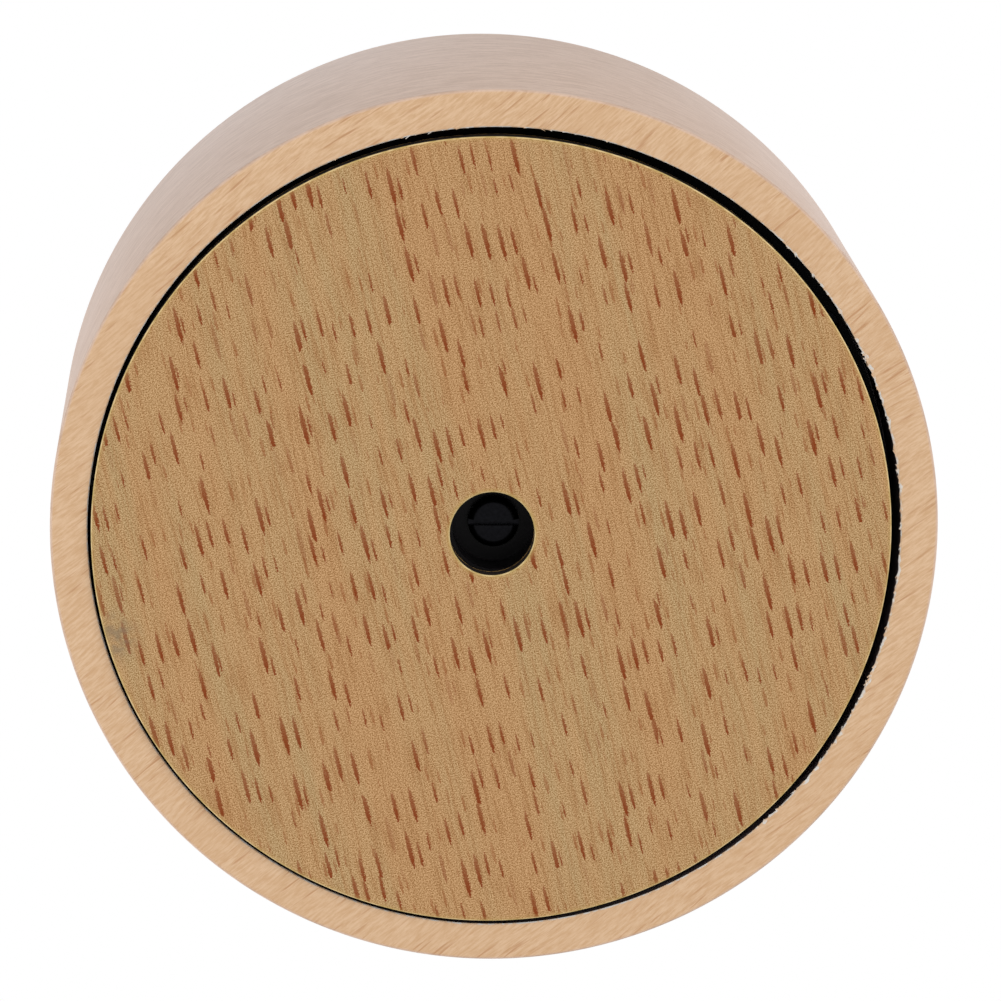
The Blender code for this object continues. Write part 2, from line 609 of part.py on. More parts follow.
def make_bedplate(zinc):
    """The die-cast bedplate with its posts, the comb's boss and the inner bearing."""
    outline = [
        (BED_LEFT, -BED_SIDE + BED_CORNER), (BED_LEFT + BED_CORNER, -BED_SIDE),
        (BED_RIGHT - BED_CORNER, BED_FRONT), (BED_RIGHT - BED_CORNER / 2, BED_FRONT),
        (BED_RIGHT, BED_FRONT + BED_CORNER / 2), (BED_RIGHT, BED_CORNER_Y),
        (CYLINDER_END + OVERRUN, BED_BACK), (CYLINDER_START - OVERRUN, BED_BACK),
        (BED_CORNER, BED_SIDE), (BED_LEFT + BED_CORNER, BED_SIDE), (BED_LEFT, BED_SIDE - BED_CORNER),
    ]
    bed = piece("bedplate", slab(bmesh.new(), outline, BED_LEVEL, BED_TOP_LEVEL), zinc)
    sunk = BED_TOP_LEVEL - BITE
    added = rods_at([(0, EAR_SPREAD), (0, -EAR_SPREAD)], POST_RADIUS, sunk, EAR_LEVEL - SEAT)
    box(added, CYLINDER_START, CYLINDER_END, COMB_BACK - COMB_BOSS, COMB_BACK, sunk, COMB_UNDER_LEVEL - SEAT)
    box(added, BEARING_START, BEARING_START + BEARING_THICKNESS, -BEARING_HALF_WIDTH,
        BEARING_HALF_WIDTH, sunk, CYLINDER_LEVEL + BEARING_CROWN)
    join(bed, added, "bed_posts")
    inner = ARBOR_RADIUS + SHAFT_PLAY + BUSH_WALL + SEAT
    places = movement_screw_places()
    cut(bed, rods_at([(0, 0)], inner, BED_LEVEL - OVERRUN, BED_TOP_LEVEL + OVERRUN, MEDIUM_SIDES), "bush_hole")
    cut(bed, rods_at(places, MOVEMENT_SCREW[2] + SCREW_PLAY, BED_LEVEL - OVERRUN,
                     BED_TOP_LEVEL + OVERRUN, TINY_SIDES), "bed_screw_holes")
    threads = rods_at([(0, EAR_SPREAD), (0, -EAR_SPREAD)], HOUSING_SCREW[2] + SCREW_PLAY,
                      EAR_LEVEL + EAR_THICKNESS - HOUSING_SCREW[3] - SCREW_PLAY,
                      EAR_LEVEL + OVERRUN, TINY_SIDES)
    for x, y in comb_screw_places():
        slab(threads, circle(x, y, COMB_SCREW[2] + SCREW_PLAY, TINY_SIDES),
             CYLINDER_LEVEL - COMB_SCREW[3] - SCREW_PLAY, CYLINDER_LEVEL)
    foot_top = BED_TOP_LEVEL + SEAT + BRACKET_FOOT
    for x, y in (bracket_screw_place(), frame_screw_place()):
        slab(threads, circle(x, y, BRACKET_SCREW[2] + SCREW_PLAY, TINY_SIDES),
             foot_top - BRACKET_SCREW[3] - SCREW_PLAY, BED_TOP_LEVEL + OVERRUN)
    cut(bed, threads, "bed_threads")
    bearing = turned([rod(CYLINDER_ARBOR + SHAFT_PLAY, BEARING_START - OVERRUN,
                          BEARING_START + BEARING_THICKNESS + OVERRUN)], SMALL_SIDES)
    lay_along_x(bearing, 0, CYLINDER_LEVEL)
    cut(bed, bearing, "bearing_hole")


def lay_along_x(shape, y, z):
    """Turns an upright bmesh so that its axis runs along +X at (y, z)."""
    for vert in shape.verts:
        vert.co = Vector((vert.co.z, vert.co.y + y, z - vert.co.x))
    return shape


def make_drive_gear(nylon, gear_axis):
    """The crown wheel: a plate with teeth standing round its edge."""
    inner = ARBOR_RADIUS + CROWN_HUB_PLAY
    outline = tube(inner, CROWN_OUTER, CROWN_LEVEL, CROWN_TOP_LEVEL)
    gear = piece("drive_gear", turned([outline], CROWN_TEETH * 2), nylon, gear_axis)
    teeth = bmesh.new()
    height = (ADDENDUM_SHARE + DEDENDUM_SHARE) * CROWN_MODULE
    half = math.pi * CROWN_MODULE * CROWN_TOOTH_SHARE / 2
    outside = CROWN_OUTER - SEAT
    for tooth in range(CROWN_TEETH):
        turn = 2 * math.pi * tooth / CROWN_TEETH
        along, side = Vector((math.cos(turn), math.sin(turn), 0)), Vector((-math.sin(turn), math.cos(turn), 0))
        low, high = CROWN_TOP_LEVEL - BITE, CROWN_TOP_LEVEL + height
        corners = []
        for level, width in ((low, half * TOOTH_FOOT_SHARE), (high, half * TOOTH_TOP_SHARE)):
            for radius, sign in ((CROWN_INNER, -1), (outside, -1), (outside, 1), (CROWN_INNER, 1)):
                corners.append(teeth.verts.new(along * radius + side * width * sign + Vector((0, 0, level))))
        bottom, top = corners[:4], corners[4:]
        teeth.faces.new(list(reversed(bottom)))
        teeth.faces.new(top)
        for first in range(4):
            second = (first + 1) % 4
            teeth.faces.new((bottom[first], bottom[second], top[second], top[first]))
    join(gear, teeth, "crown_teeth")
    pivot_x, pivot_y = click_pivot()
    cut(gear, rods_at([(pivot_x, pivot_y)], CLICK_PIN + SEAT, CROWN_LEVEL - OVERRUN,
                      CROWN_TOP_LEVEL + OVERRUN, TINY_SIDES), "click_pin_hole")


def make_ratchet(steel, turntable):
    """Saw teeth: steep on the side that pushes the click when the spring unwinds."""
    outline = []
    root = RATCHET_RADIUS - RATCHET_DEPTH
    for tooth in range(RATCHET_TEETH):
        start = TURN_DEGREES * tooth / RATCHET_TEETH
        outline.append(polar(root, start))
        outline.append(polar(RATCHET_RADIUS, start))
        outline.append(polar((root + RATCHET_RADIUS) / 2, start + HALF_TURN_DEGREES / RATCHET_TEETH))
    wheel = piece("ratchet_wheel", slab(bmesh.new(), outline, RATCHET_LEVEL,
                                        RATCHET_LEVEL + RATCHET_THICKNESS), steel, turntable)
    cut(wheel, rods_at([(0, 0)], ARBOR_RADIUS + SHAFT_PLAY, RATCHET_LEVEL - OVERRUN,
                       RATCHET_LEVEL + OVERRUN, MEDIUM_SIDES), "ratchet_bore")


def click_pivot():
    """The click's pin stands on the drive gear, a click's reach along from its tip."""
    return RATCHET_RADIUS + CLICK_WIDTH, -CLICK_REACH


def make_click(steel, click_axis):
    """A pawl with a rivet through the drive gear. Its nose lies in a tooth of the ratchet."""
    pivot_x, pivot_y = click_pivot()
    nose_x = RATCHET_RADIUS - RATCHET_DEPTH / 2 - pivot_x
    nose_y = -CLICK_PLAY - pivot_y
    half = CLICK_WIDTH / 2
    outline = arc(0, 0, half, HALF_TURN_DEGREES, TURN_DEGREES, ARC_STEP_COUNT)
    outline += [(half, nose_y - CLICK_WIDTH), (nose_x + half, nose_y), (nose_x, nose_y),
                (nose_x, nose_y - half), (-half, nose_y - CLICK_WIDTH - half)]
    click = slab(bmesh.new(), outline, RATCHET_LEVEL, RATCHET_LEVEL + RATCHET_THICKNESS)
    pawl = piece("click", click, steel, click_axis)
    rivet = rods_at([(0, 0)], CLICK_PIN, CROWN_LEVEL, RATCHET_LEVEL + BITE, TINY_SIDES)
    join(pawl, rivet, "click_rivet")


def make_housing(steel, turntable_hole):
    """A drawn steel cup over the spring, with two ears on the posts of the bedplate."""
    inner = HOUSING_RADIUS - HOUSING_WALL
    roof = HOUSING_TOP_LEVEL - HOUSING_WALL
    outline = [(turntable_hole, roof), (inner, roof), (inner, HOUSING_LEVEL), (HOUSING_RADIUS, HOUSING_LEVEL),
               (HOUSING_RADIUS, HOUSING_TOP_LEVEL), (turntable_hole, HOUSING_TOP_LEVEL)]
    housing = piece("spring_housing", turned([outline], MEDIUM_SIDES), steel)
    ears = bmesh.new()
    start = inner + BITE
    for sign in (-1, 1):
        end = arc(0, EAR_SPREAD, EAR_RADIUS, 0, HALF_TURN_DEGREES, ARC_STEP_COUNT)
        outline = [(EAR_RADIUS, start)] + end + [(-EAR_RADIUS, start)]
        slab(ears, [(x, sign * y) for x, y in outline], EAR_LEVEL, EAR_LEVEL + EAR_THICKNESS)
    bmesh.ops.recalc_face_normals(ears, faces=ears.faces)
    join(housing, ears, "housing_ears")
    cut(housing, rods_at([(0, EAR_SPREAD), (0, -EAR_SPREAD)], HOUSING_SCREW[2] + SCREW_PLAY,
                         EAR_LEVEL - OVERRUN, EAR_LEVEL + EAR_THICKNESS + OVERRUN, TINY_SIDES), "ear_holes")


def make_cover(steel):
    outer = HOUSING_RADIUS - HOUSING_WALL - SEAT
    outline = tube(ARBOR_RADIUS + CROWN_HUB_PLAY, outer, COVER_LEVEL, COVER_LEVEL + COVER_THICKNESS)
    piece("spring_cover", turned([outline], MEDIUM_SIDES), steel)


def make_mainspring(spring_steel):
    """One unbroken strip that winds out from the arbor to the wall of the housing."""
    inner = ARBOR_RADIUS + SPRING_ARBOR_GAP
    outer = HOUSING_RADIUS - HOUSING_WALL - SPRING_WALL_GAP - SPRING_STRIP
    steps = SPRING_TURN_COUNT * SPRING_POINT_COUNT
    near, far = [], []
    for step in range(steps + 1):
        turn = 2 * math.pi * step / SPRING_POINT_COUNT
        radius = inner + (outer - inner) * step / steps
        near.append((radius * math.cos(turn), radius * math.sin(turn)))
        far.append(((radius + SPRING_STRIP) * math.cos(turn), (radius + SPRING_STRIP) * math.sin(turn)))
    gap = (outer - inner) / SPRING_TURN_COUNT - SPRING_STRIP
    print(f"mainspring: {SPRING_TURN_COUNT} turns, least gap between turns {gap / MM:.2f} mm")
    strip = bmesh.new()
    quads = []
    for first in range(steps):
        second = first + 1
        quads.append([strip.verts.new((x, y, SPRING_LEVEL)) for x, y in
                      (near[first], near[second], far[second], far[first])])
    for corners in quads:
        strip.faces.new(corners)
    bmesh.ops.remove_doubles(strip, verts=strip.verts, dist=GLUE * MM)
    raised = bmesh.ops.extrude_face_region(strip, geom=list(strip.faces))
    top = [item for item in raised["geom"] if isinstance(item, bmesh.types.BMVert)]
    bmesh.ops.translate(strip, verts=top, vec=(0, 0, SPRING_HEIGHT))
    piece("mainspring", strip, spring_steel)


def pin_places():
    """(distance along the cylinder, angle) of each pin: a plain run up and down the comb."""
    places = []
    pitch = CYLINDER_LENGTH / (COMB_TEETH + 1)
    for row in range(PIN_ROW_COUNT):
        turn = 2 * math.pi * (row + 0.5) / PIN_ROW_COUNT
        climb = (row * 5) % (2 * COMB_TEETH - 2)
        tooth = climb if climb < COMB_TEETH else 2 * COMB_TEETH - 2 - climb
        places.append((pitch * (tooth + 1), turn))
        if row % 4 == 0:
            places.append((pitch * ((tooth + 7) % COMB_TEETH + 1), turn))
    return places


def make_cylinder(brass, cylinder_axis):
    """The brass tube with its pins. It is made upright and laid along +X."""
    start, end = CYLINDER_START, CYLINDER_END
    outline = tube(CYLINDER_RADIUS - CYLINDER_WALL, CYLINDER_RADIUS, start, end)
    drum = piece("pin_cylinder", lay_along_x(turned([outline], PIN_ROW_COUNT), 0, 0), brass, cylinder_axis)
    pins = bmesh.new()
    half = PIN_WIDTH / 2
    root, tip = CYLINDER_RADIUS - BITE, CYLINDER_RADIUS + PIN_HEIGHT
    for along, turn in pin_places():
        out, side = Vector((0, math.cos(turn), math.sin(turn))), Vector((0, -math.sin(turn), math.cos(turn)))
        lengthwise = Vector((1, 0, 0))
        middle = lengthwise * (start + along)
        ends = []
        for radius in (root, tip):
            ends.append([pins.verts.new(middle + out * radius + lengthwise * half * a + side * half * b)
                         for a, b in ((-1, -1), (1, -1), (1, 1), (-1, 1))])
        bottom, top = ends
        pins.faces.new(bottom)
        pins.faces.new(list(reversed(top)))
        for first in range(4):
            second = (first + 1) % 4
            pins.faces.new((bottom[second], bottom[first], top[first], top[second]))
    join(drum, pins, "pins")


def make_cylinder_train(nylon, brass, steel, cylinder_axis):
    """The pinion over the crown wheel, the plug, the wheel for the governor and the arbor."""
    bore = CYLINDER_ARBOR + SEAT
    pinion = slab(bmesh.new(), gear_outline(PINION_TEETH, CROWN_MODULE, PINION_TOOTH_SHARE, 0.5),
                  CROWN_INNER, CROWN_OUTER)
    pinion_piece = piece("cylinder_pinion", lay_along_x(pinion, 0, 0), nylon, cylinder_axis)
    cut(pinion_piece, lay_along_x(turned([rod(bore, CROWN_INNER - OVERRUN, CROWN_OUTER + OVERRUN)],
                                         SMALL_SIDES), 0, 0), "pinion_bore")
    inside = CYLINDER_RADIUS - CYLINDER_WALL - SEAT
    plug = turned([tube(bore, inside, CYLINDER_START + SEAT, CYLINDER_START + PLUG_THICKNESS)], PIN_ROW_COUNT)
    piece("cylinder_plug", lay_along_x(plug, 0, 0), nylon, cylinder_axis)
    wheel = slab(bmesh.new(), gear_outline(WHEEL_TEETH, WHEEL_MODULE, GEAR_TOOTH_SHARE, 0),
                 WHEEL_START, WHEEL_START + WHEEL_FACE)
    wheel_piece = piece("cylinder_wheel", lay_along_x(wheel, 0, 0), brass, cylinder_axis)
    spigot = turned([rod(inside, CYLINDER_END - PLUG_THICKNESS, WHEEL_START + BITE)], PIN_ROW_COUNT)
    join(wheel_piece, lay_along_x(spigot, 0, 0), "wheel_spigot")
    cut(wheel_piece, lay_along_x(turned([rod(bore, CYLINDER_END - PLUG_THICKNESS - OVERRUN,
                                             WHEEL_START + WHEEL_FACE + OVERRUN)], SMALL_SIDES), 0, 0),
        "wheel_bore")
    start = HOUSING_RADIUS + BRACKET_GAP
    end = BRACKET_START + BRACKET_SHEET + BRACKET_GAP
    arbor = turned([rod(CYLINDER_ARBOR, start, end)], SMALL_SIDES)
    piece("cylinder_arbor", lay_along_x(arbor, 0, 0), steel, cylinder_axis)


def make_comb(steel):
    """A thick root with eighteen thinner teeth, longest at the bass end."""
    outline = [(CYLINDER_END, COMB_BACK), (CYLINDER_START, COMB_BACK)]
    half = COMB_TOOTH_WIDTH / 2
    last = COMB_TEETH - 1
    roots = []
    for tooth, x in enumerate(comb_places()):
        root = COMB_TIP_Y + COMB_LONG + (COMB_SHORT - COMB_LONG) * tooth / last
        if tooth == 0:
            outline.append((CYLINDER_START, root))
        outline += [(x - half, root), (x - half, COMB_TIP_Y), (x + half, COMB_TIP_Y), (x + half, root)]
        roots.append(root)
    outline.append((CYLINDER_END, roots[-1]))
    top = CYLINDER_LEVEL
    comb = piece("comb", slab(bmesh.new(), outline, top - COMB_TOOTH_THICKNESS, top), steel)
    bass_y, treble_y = roots[0] + OVERRUN, roots[-1] + OVERRUN
    block = [(CYLINDER_START, bass_y), (CYLINDER_END, treble_y), (CYLINDER_END, COMB_BACK),
             (CYLINDER_START, COMB_BACK)]
    join(comb, slab(bmesh.new(), block, COMB_UNDER_LEVEL, top), "comb_root")
    cut(comb, rods_at(comb_screw_places(), COMB_SCREW[2] + SCREW_PLAY, COMB_UNDER_LEVEL - OVERRUN,
                      top + OVERRUN, TINY_SIDES), "comb_holes")


def make_train(brass, steel, nylon, train_axis):
    """The thin arbor with its pinion cut from the solid, and the wheel that turns the worm."""
    pinion_end = WHEEL_START + WHEEL_FACE
    arbor = slab(bmesh.new(), gear_outline(TRAIN_TEETH, WHEEL_MODULE, GEAR_TOOTH_SHARE, 0.5),
                 WHEEL_START, pinion_end)
    arbor_piece = piece("train_arbor", lay_along_x(arbor, 0, 0), steel, train_axis)
    end = OUTER_BRACKET_START + BRACKET_SHEET
    shaft = turned([rod(TRAIN_ARBOR, pinion_end - BITE, end)], TINY_SIDES)
    join(arbor_piece, lay_along_x(shaft, 0, 0), "train_shaft")
    wheel = slab(bmesh.new(), gear_outline(WORM_WHEEL_TEETH, WORM_WHEEL_MODULE, GEAR_TOOTH_SHARE, 0),
                 WORM_WHEEL_START, WORM_WHEEL_START + WORM_WHEEL_FACE)
    wheel_piece = piece("worm_wheel", lay_along_x(wheel, 0, 0), nylon, train_axis)
    hole = turned([rod(TRAIN_ARBOR + SEAT, WORM_WHEEL_START - OVERRUN,
                       WORM_WHEEL_START + WORM_WHEEL_FACE + OVERRUN)], TINY_SIDES)
    cut(wheel_piece, lay_along_x(hole, 0, 0), "worm_wheel_bore")


def thread_shape(core):
    """A right-hand ridge round the worm, centred on height zero, with a gap facing +Y there."""
    tip = WORM_RADIUS + ADDENDUM_SHARE * WORM_WHEEL_MODULE
    half = WORM_LEAD * WORM_THREAD_SHARE / 2
    steps = WORM_TURN_COUNT * WORM_POINT_COUNT
    shape = bmesh.new()
    loops = []
    for step in range(steps + 1):
        climb = WORM_LEAD * (step / WORM_POINT_COUNT - WORM_TURN_COUNT / 2)
        turn = math.pi / 2 + 2 * math.pi * (climb / WORM_LEAD - 0.5)
        out = Vector((math.cos(turn), math.sin(turn), 0))
        section = ((core - BITE, -THREAD_FOOT_SHARE), (tip, -TOOTH_TOP_SHARE),
                   (tip, TOOTH_TOP_SHARE), (core - BITE, THREAD_FOOT_SHARE))
        loops.append([shape.verts.new(out * radius + Vector((0, 0, climb + share * half)))
                      for radius, share in section])
    for first, second in zip(loops, loops[1:]):
        for corner in range(4):
            other = (corner + 1) % 4
            shape.faces.new((first[corner], first[other], second[other], second[corner]))
    shape.faces.new(list(reversed(loops[0])))
    shape.faces.new(loops[-1])
    return shape


def make_worm(steel, plastic, fan_axis):
    """The upright worm on its pivots, and the fan that brakes it in the air."""
    core = WORM_RADIUS - DEDENDUM_SHARE * WORM_WHEEL_MODULE
    half = WORM_LEAD * (WORM_TURN_COUNT / 2 + 0.5)
    low = BED_TOP_LEVEL + SEAT + BRACKET_FOOT / 2 - CYLINDER_LEVEL
    high = FRAME_LUG_LEVEL + FRAME_LUG - CYLINDER_LEVEL
    outline = [(0, low), (WORM_PIVOT, low), (WORM_PIVOT, -half), (core, -half), (core, half),
               (WORM_PIVOT, half), (WORM_PIVOT, high), (0, high)]
    spindle = piece("worm_spindle", turned([outline], WORM_POINT_COUNT), steel, fan_axis)
    join(spindle, thread_shape(core), "worm_thread")
    fan_low = FAN_LIFT
    fan_high = FAN_LIFT + FAN_HEIGHT
    hub = tube(WORM_PIVOT + SEAT, FAN_HUB, fan_low, fan_high)
    fan = piece("governor_fan", turned([hub], TINY_SIDES), plastic, fan_axis)
    blades = bmesh.new()
    start = (WORM_PIVOT + SEAT + FAN_HUB) / 2
    for sign in (-1, 1):
        near, far = sorted((sign * start, sign * FAN_RADIUS))
        box(blades, near, far, -FAN_BLADE / 2, FAN_BLADE / 2, fan_low, fan_high)
    join(fan, blades, "fan_blades")


def make_brackets(steel):
    """Two bent strips: one holds the ends of the cylinder and train arbors, one the worm."""
    foot_low = BED_TOP_LEVEL + SEAT
    foot_high = foot_low + BRACKET_FOOT
    inner_end, outer_end = BRACKET_START + BRACKET_SHEET, OUTER_BRACKET_START + BRACKET_SHEET
    left, right = TRAIN_Y - BRACKET_HALF_WIDTH, BRACKET_HALF_WIDTH + BRACKET_GAP
    cheeks = bmesh.new()
    box(cheeks, BRACKET_START, outer_end, left, right, foot_low, foot_high)
    bracket = piece("train_bracket", cheeks, steel)
    uprights = bmesh.new()
    box(uprights, BRACKET_START, inner_end, left, right, foot_high - BITE, CYLINDER_LEVEL + BRACKET_CROWN)
    box(uprights, OUTER_BRACKET_START, outer_end, left, TRAIN_Y + BRACKET_HALF_WIDTH, foot_high - BITE,
        CYLINDER_LEVEL + BRACKET_CROWN)
    join(bracket, uprights, "bracket_uprights")
    holes = lay_along_x(turned([rod(TRAIN_ARBOR + SHAFT_PLAY, BRACKET_START - OVERRUN, outer_end + OVERRUN)],
                               TINY_SIDES), TRAIN_Y, CYLINDER_LEVEL)
    cut(bracket, holes, "train_holes")
    hole = lay_along_x(turned([rod(CYLINDER_ARBOR + SHAFT_PLAY, BRACKET_START - OVERRUN,
                                   inner_end + OVERRUN)], SMALL_SIDES), 0, CYLINDER_LEVEL)
    cut(bracket, hole, "cylinder_end_hole")
    cut(bracket, rods_at([bracket_screw_place()], BRACKET_SCREW[2] + SCREW_PLAY, foot_low - OVERRUN,
                         foot_high + OVERRUN, TINY_SIDES), "bracket_foot_hole")
    x_low, x_high = WORM_X - FRAME_HALF_WIDTH, WORM_X + FRAME_HALF_WIDTH
    lug_y = WORM_Y + FRAME_HALF_WIDTH
    frame = piece("governor_frame", box(bmesh.new(), x_low, x_high, FRAME_Y, FRAME_Y + FRAME_WALL,
                                        foot_low, FRAME_LUG_LEVEL + FRAME_LUG), steel)
    lugs = bmesh.new()
    inside = FRAME_Y + FRAME_WALL - BITE
    box(lugs, x_low, x_high, inside, lug_y, foot_low, foot_high)
    box(lugs, x_low, x_high, inside, lug_y, FRAME_LUG_LEVEL, FRAME_LUG_LEVEL + FRAME_LUG)
    join(frame, lugs, "frame_lugs")
    cut(frame, rods_at([(WORM_X, WORM_Y)], WORM_PIVOT + SHAFT_PLAY, foot_low - OVERRUN,
                       FRAME_LUG_LEVEL + FRAME_LUG + OVERRUN, TINY_SIDES), "worm_pivot_holes")
    cut(frame, rods_at([frame_screw_place()], BRACKET_SCREW[2] + SCREW_PLAY, foot_low - OVERRUN,
                       foot_high + OVERRUN, TINY_SIDES), "frame_foot_hole")


def make_screws(steel, black_steel, turntable):
    for number, (x, y) in enumerate(case_screw_places(), 1):
        add_screw(f"case_screw_{number}", CASE_SCREW, x, y, BOARD_LEVEL, black_steel,
                  countersunk=True, upside_down=True)
    for number, (x, y) in enumerate(movement_screw_places(), 1):
        add_screw(f"movement_screw_{number}", MOVEMENT_SCREW, x, y, BED_TOP_LEVEL + SEAT, steel)
    for number, sign in enumerate((-1, 1), 1):
        add_screw(f"housing_screw_{number}", HOUSING_SCREW, 0, sign * EAR_SPREAD,
                  EAR_LEVEL + EAR_THICKNESS + SEAT, steel)
    for number, (x, y) in enumerate(comb_screw_places(), 1):
        add_screw(f"comb_screw_{number}", COMB_SCREW, x, y, CYLINDER_LEVEL + SEAT, steel)
    foot_top = BED_TOP_LEVEL + SEAT + BRACKET_FOOT + SEAT
    add_screw("bracket_screw", BRACKET_SCREW, *bracket_screw_place(), foot_top, steel)
    add_screw("frame_screw", BRACKET_SCREW, *frame_screw_place(), foot_top, steel)
    add_screw("plate_screw", PLATE_SCREW, 0, 0, WELL_DEPTH - SEAT, black_steel,
              upside_down=True, parent=turntable)


def main():
    clear_scene()
    beech = material("beech", (0.74, 0.50, 0.29), 0.55)
    veneer = material("beech_veneer", (0.53, 0.34, 0.17), 0.5)
    black_plastic = material("black_plastic", (0.012, 0.012, 0.013), 0.35)
    zinc = material("zinc", (0.62, 0.62, 0.64), 0.42, 1.0)
    steel = material("steel", (0.56, 0.57, 0.58), 0.3, 1.0)
    blued = material("black_steel", (0.03, 0.03, 0.035), 0.4, 1.0)
    spring_steel = material("spring_steel", (0.22, 0.24, 0.3), 0.3, 1.0)
    brass = material("brass", (0.72, 0.52, 0.22), 0.28, 1.0)
    nylon = material("nylon", (0.82, 0.8, 0.74), 0.45)

    turntable = axis_empty("turntable_axis", 0, 0, 0)
    gear_axis = axis_empty("drive_gear_axis", 0, 0, 0)
    pivot_x, pivot_y = click_pivot()
    click_axis = axis_empty("click_axis", pivot_x, pivot_y, 0)
    cylinder_axis = axis_empty("cylinder_axis", 0, 0, CYLINDER_LEVEL)
    train_axis = axis_empty("train_axis", 0, TRAIN_Y, CYLINDER_LEVEL)
    fan_axis = axis_empty("fan_axis", WORM_X, WORM_Y, CYLINDER_LEVEL)

    make_case(beech)
    make_disc(veneer, turntable)
    make_plate(black_plastic, turntable)
    make_board(black_plastic)
    make_arbor(steel, turntable)
    make_bush(brass)
    make_retaining_ring(steel, turntable)
    make_bedplate(zinc)
    make_drive_gear(nylon, gear_axis)
    make_ratchet(steel, turntable)
    make_click(steel, click_axis)
    make_housing(steel, ARBOR_PIVOT + SHAFT_PLAY)
    make_cover(steel)
    make_mainspring(spring_steel)
    make_cylinder(brass, cylinder_axis)
    make_cylinder_train(nylon, brass, steel, cylinder_axis)
    make_comb(steel)
    make_train(brass, steel, nylon, train_axis)
    make_worm(steel, black_plastic, fan_axis)
    make_brackets(steel)
    make_screws(steel, blued, turntable)


main()
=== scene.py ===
# %% [markdown]
# A round wooden music box, seen from below
#
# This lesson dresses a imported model. The model gives every piece its true size and place, and
# this script gives the pieces that show their real edges, grain and finish. The box stands
# upright on a board in its underside, which is turned to wind the movement. The camera looks up
# at that underside, as in the photograph.

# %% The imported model
import json
import math
import random

import bmesh
import bpy
from mathutils import Matrix, Vector


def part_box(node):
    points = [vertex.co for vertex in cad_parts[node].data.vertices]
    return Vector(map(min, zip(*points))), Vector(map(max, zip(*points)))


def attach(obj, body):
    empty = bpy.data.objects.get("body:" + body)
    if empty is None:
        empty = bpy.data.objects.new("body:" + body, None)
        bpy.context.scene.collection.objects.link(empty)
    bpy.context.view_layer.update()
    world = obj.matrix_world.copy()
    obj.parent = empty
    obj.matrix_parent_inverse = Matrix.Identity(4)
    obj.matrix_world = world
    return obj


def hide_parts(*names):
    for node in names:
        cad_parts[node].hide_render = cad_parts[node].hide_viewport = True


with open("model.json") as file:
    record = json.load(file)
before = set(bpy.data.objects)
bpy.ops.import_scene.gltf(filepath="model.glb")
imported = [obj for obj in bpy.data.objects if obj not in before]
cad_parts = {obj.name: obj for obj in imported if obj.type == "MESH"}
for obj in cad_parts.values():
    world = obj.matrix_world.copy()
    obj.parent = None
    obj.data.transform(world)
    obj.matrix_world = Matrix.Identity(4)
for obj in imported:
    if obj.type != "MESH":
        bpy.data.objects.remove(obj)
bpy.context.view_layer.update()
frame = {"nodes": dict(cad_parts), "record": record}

MM = 0.001

# %% [markdown]
# Sizes
#
# The case is a cup with its mouth down, and a round board fills the mouth. Its sizes could be
# written here once more as numbers, but then they would go wrong when the model changes. They
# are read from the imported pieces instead, and only small trim, such as a rounded edge, has a
# number of its own. The board sits a little off centre, so the gap round it is wider on one side.

# %% Sizes of the case


def corners(node):
    """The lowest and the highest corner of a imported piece."""
    low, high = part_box(node)
    return Vector(low), Vector(high)


case_low, case_high = corners("case_shell")
board_low, board_high = corners("mounting_board")

CASE_RADIUS = (case_high.x - case_low.x) / 2
CASE_ARRIS = 0.35 * MM
CASE_STEP = 3.7 * MM
CASE_TOP = 6.0 * MM
BOARD_PLAY = 0.2 * MM
BORE_RADIUS = (board_high.x - board_low.x) / 2 + BOARD_PLAY
RIM_LEVEL = case_low.z
STEP_PLAY = 0.05 * MM
STEP_LEVEL = board_high.z + STEP_PLAY
print("case radius", round(CASE_RADIUS / MM, 2), "bore radius", round(BORE_RADIUS / MM, 2))

# %% Sizes of the board in the underside
disc_low, disc_high = corners("base_disc")

DISC_RADIUS = (disc_high.x - disc_low.x) / 2
DISC_CENTRE = (disc_low + disc_high) / 2
DISC_ARRIS = 0.12 * MM
HOLE_RADIUS = 4.3 * MM
print("board radius", round(DISC_RADIUS / MM, 2), "off centre by",
      [round(value / MM, 2) for value in DISC_CENTRE.to_2d()])

# %% [markdown]
# Helpers for materials
#
# A procedural material is a small machine of nodes. It could be wired by hand in the editor, but
# a script can be read and changed in one place. These helpers keep its parts short to write: one
# adds a node and fills its sockets, others do sums on numbers and vectors, and one mixes two
# colours. Colours are given as they look on a screen, from 0 to 255, and turned into the linear
# values that a shader wants.

# %% Colours and nodes


def screen_colour(red, green, blue):
    """A screen colour, 0 to 255, as linear red, green, blue and alpha."""
    shares = [value / 255 for value in (red, green, blue)]
    linear = [share / 12.92 if share <= 0.04045 else ((share + 0.055) / 1.055) ** 2.4
              for share in shares]
    return (*linear, 1.0)


def fill(tree, socket, value):
    """Links another node's socket to this one, or sets a plain number, vector or colour on it."""
    if isinstance(value, bpy.types.NodeSocket):
        tree.links.new(value, socket)
    else:
        socket.default_value = value


def add(tree, kind, settings=None, **sockets):
    """A node with its settings and sockets. A socket's spaces are written as underscores."""
    made = tree.nodes.new(kind)
    for name, value in (settings or {}).items():
        setattr(made, name, value)
    for name, value in sockets.items():
        fill(tree, made.inputs[name.replace("_", " ")], value)
    return made


def new_material(name, **sockets):
    """A material, its tree and its shader. Plain values go on the shader's own sockets."""
    material = bpy.data.materials.new(name)
    material.use_nodes = True
    tree = material.node_tree
    shader = tree.nodes["Principled BSDF"]
    for socket, value in sockets.items():
        shader.inputs[socket.replace("_", " ")].default_value = value
    return material, tree, shader


print("screen grey 128 is", round(screen_colour(128, 128, 128)[0], 3), "in linear light")

# %% Sums, fades and mixes


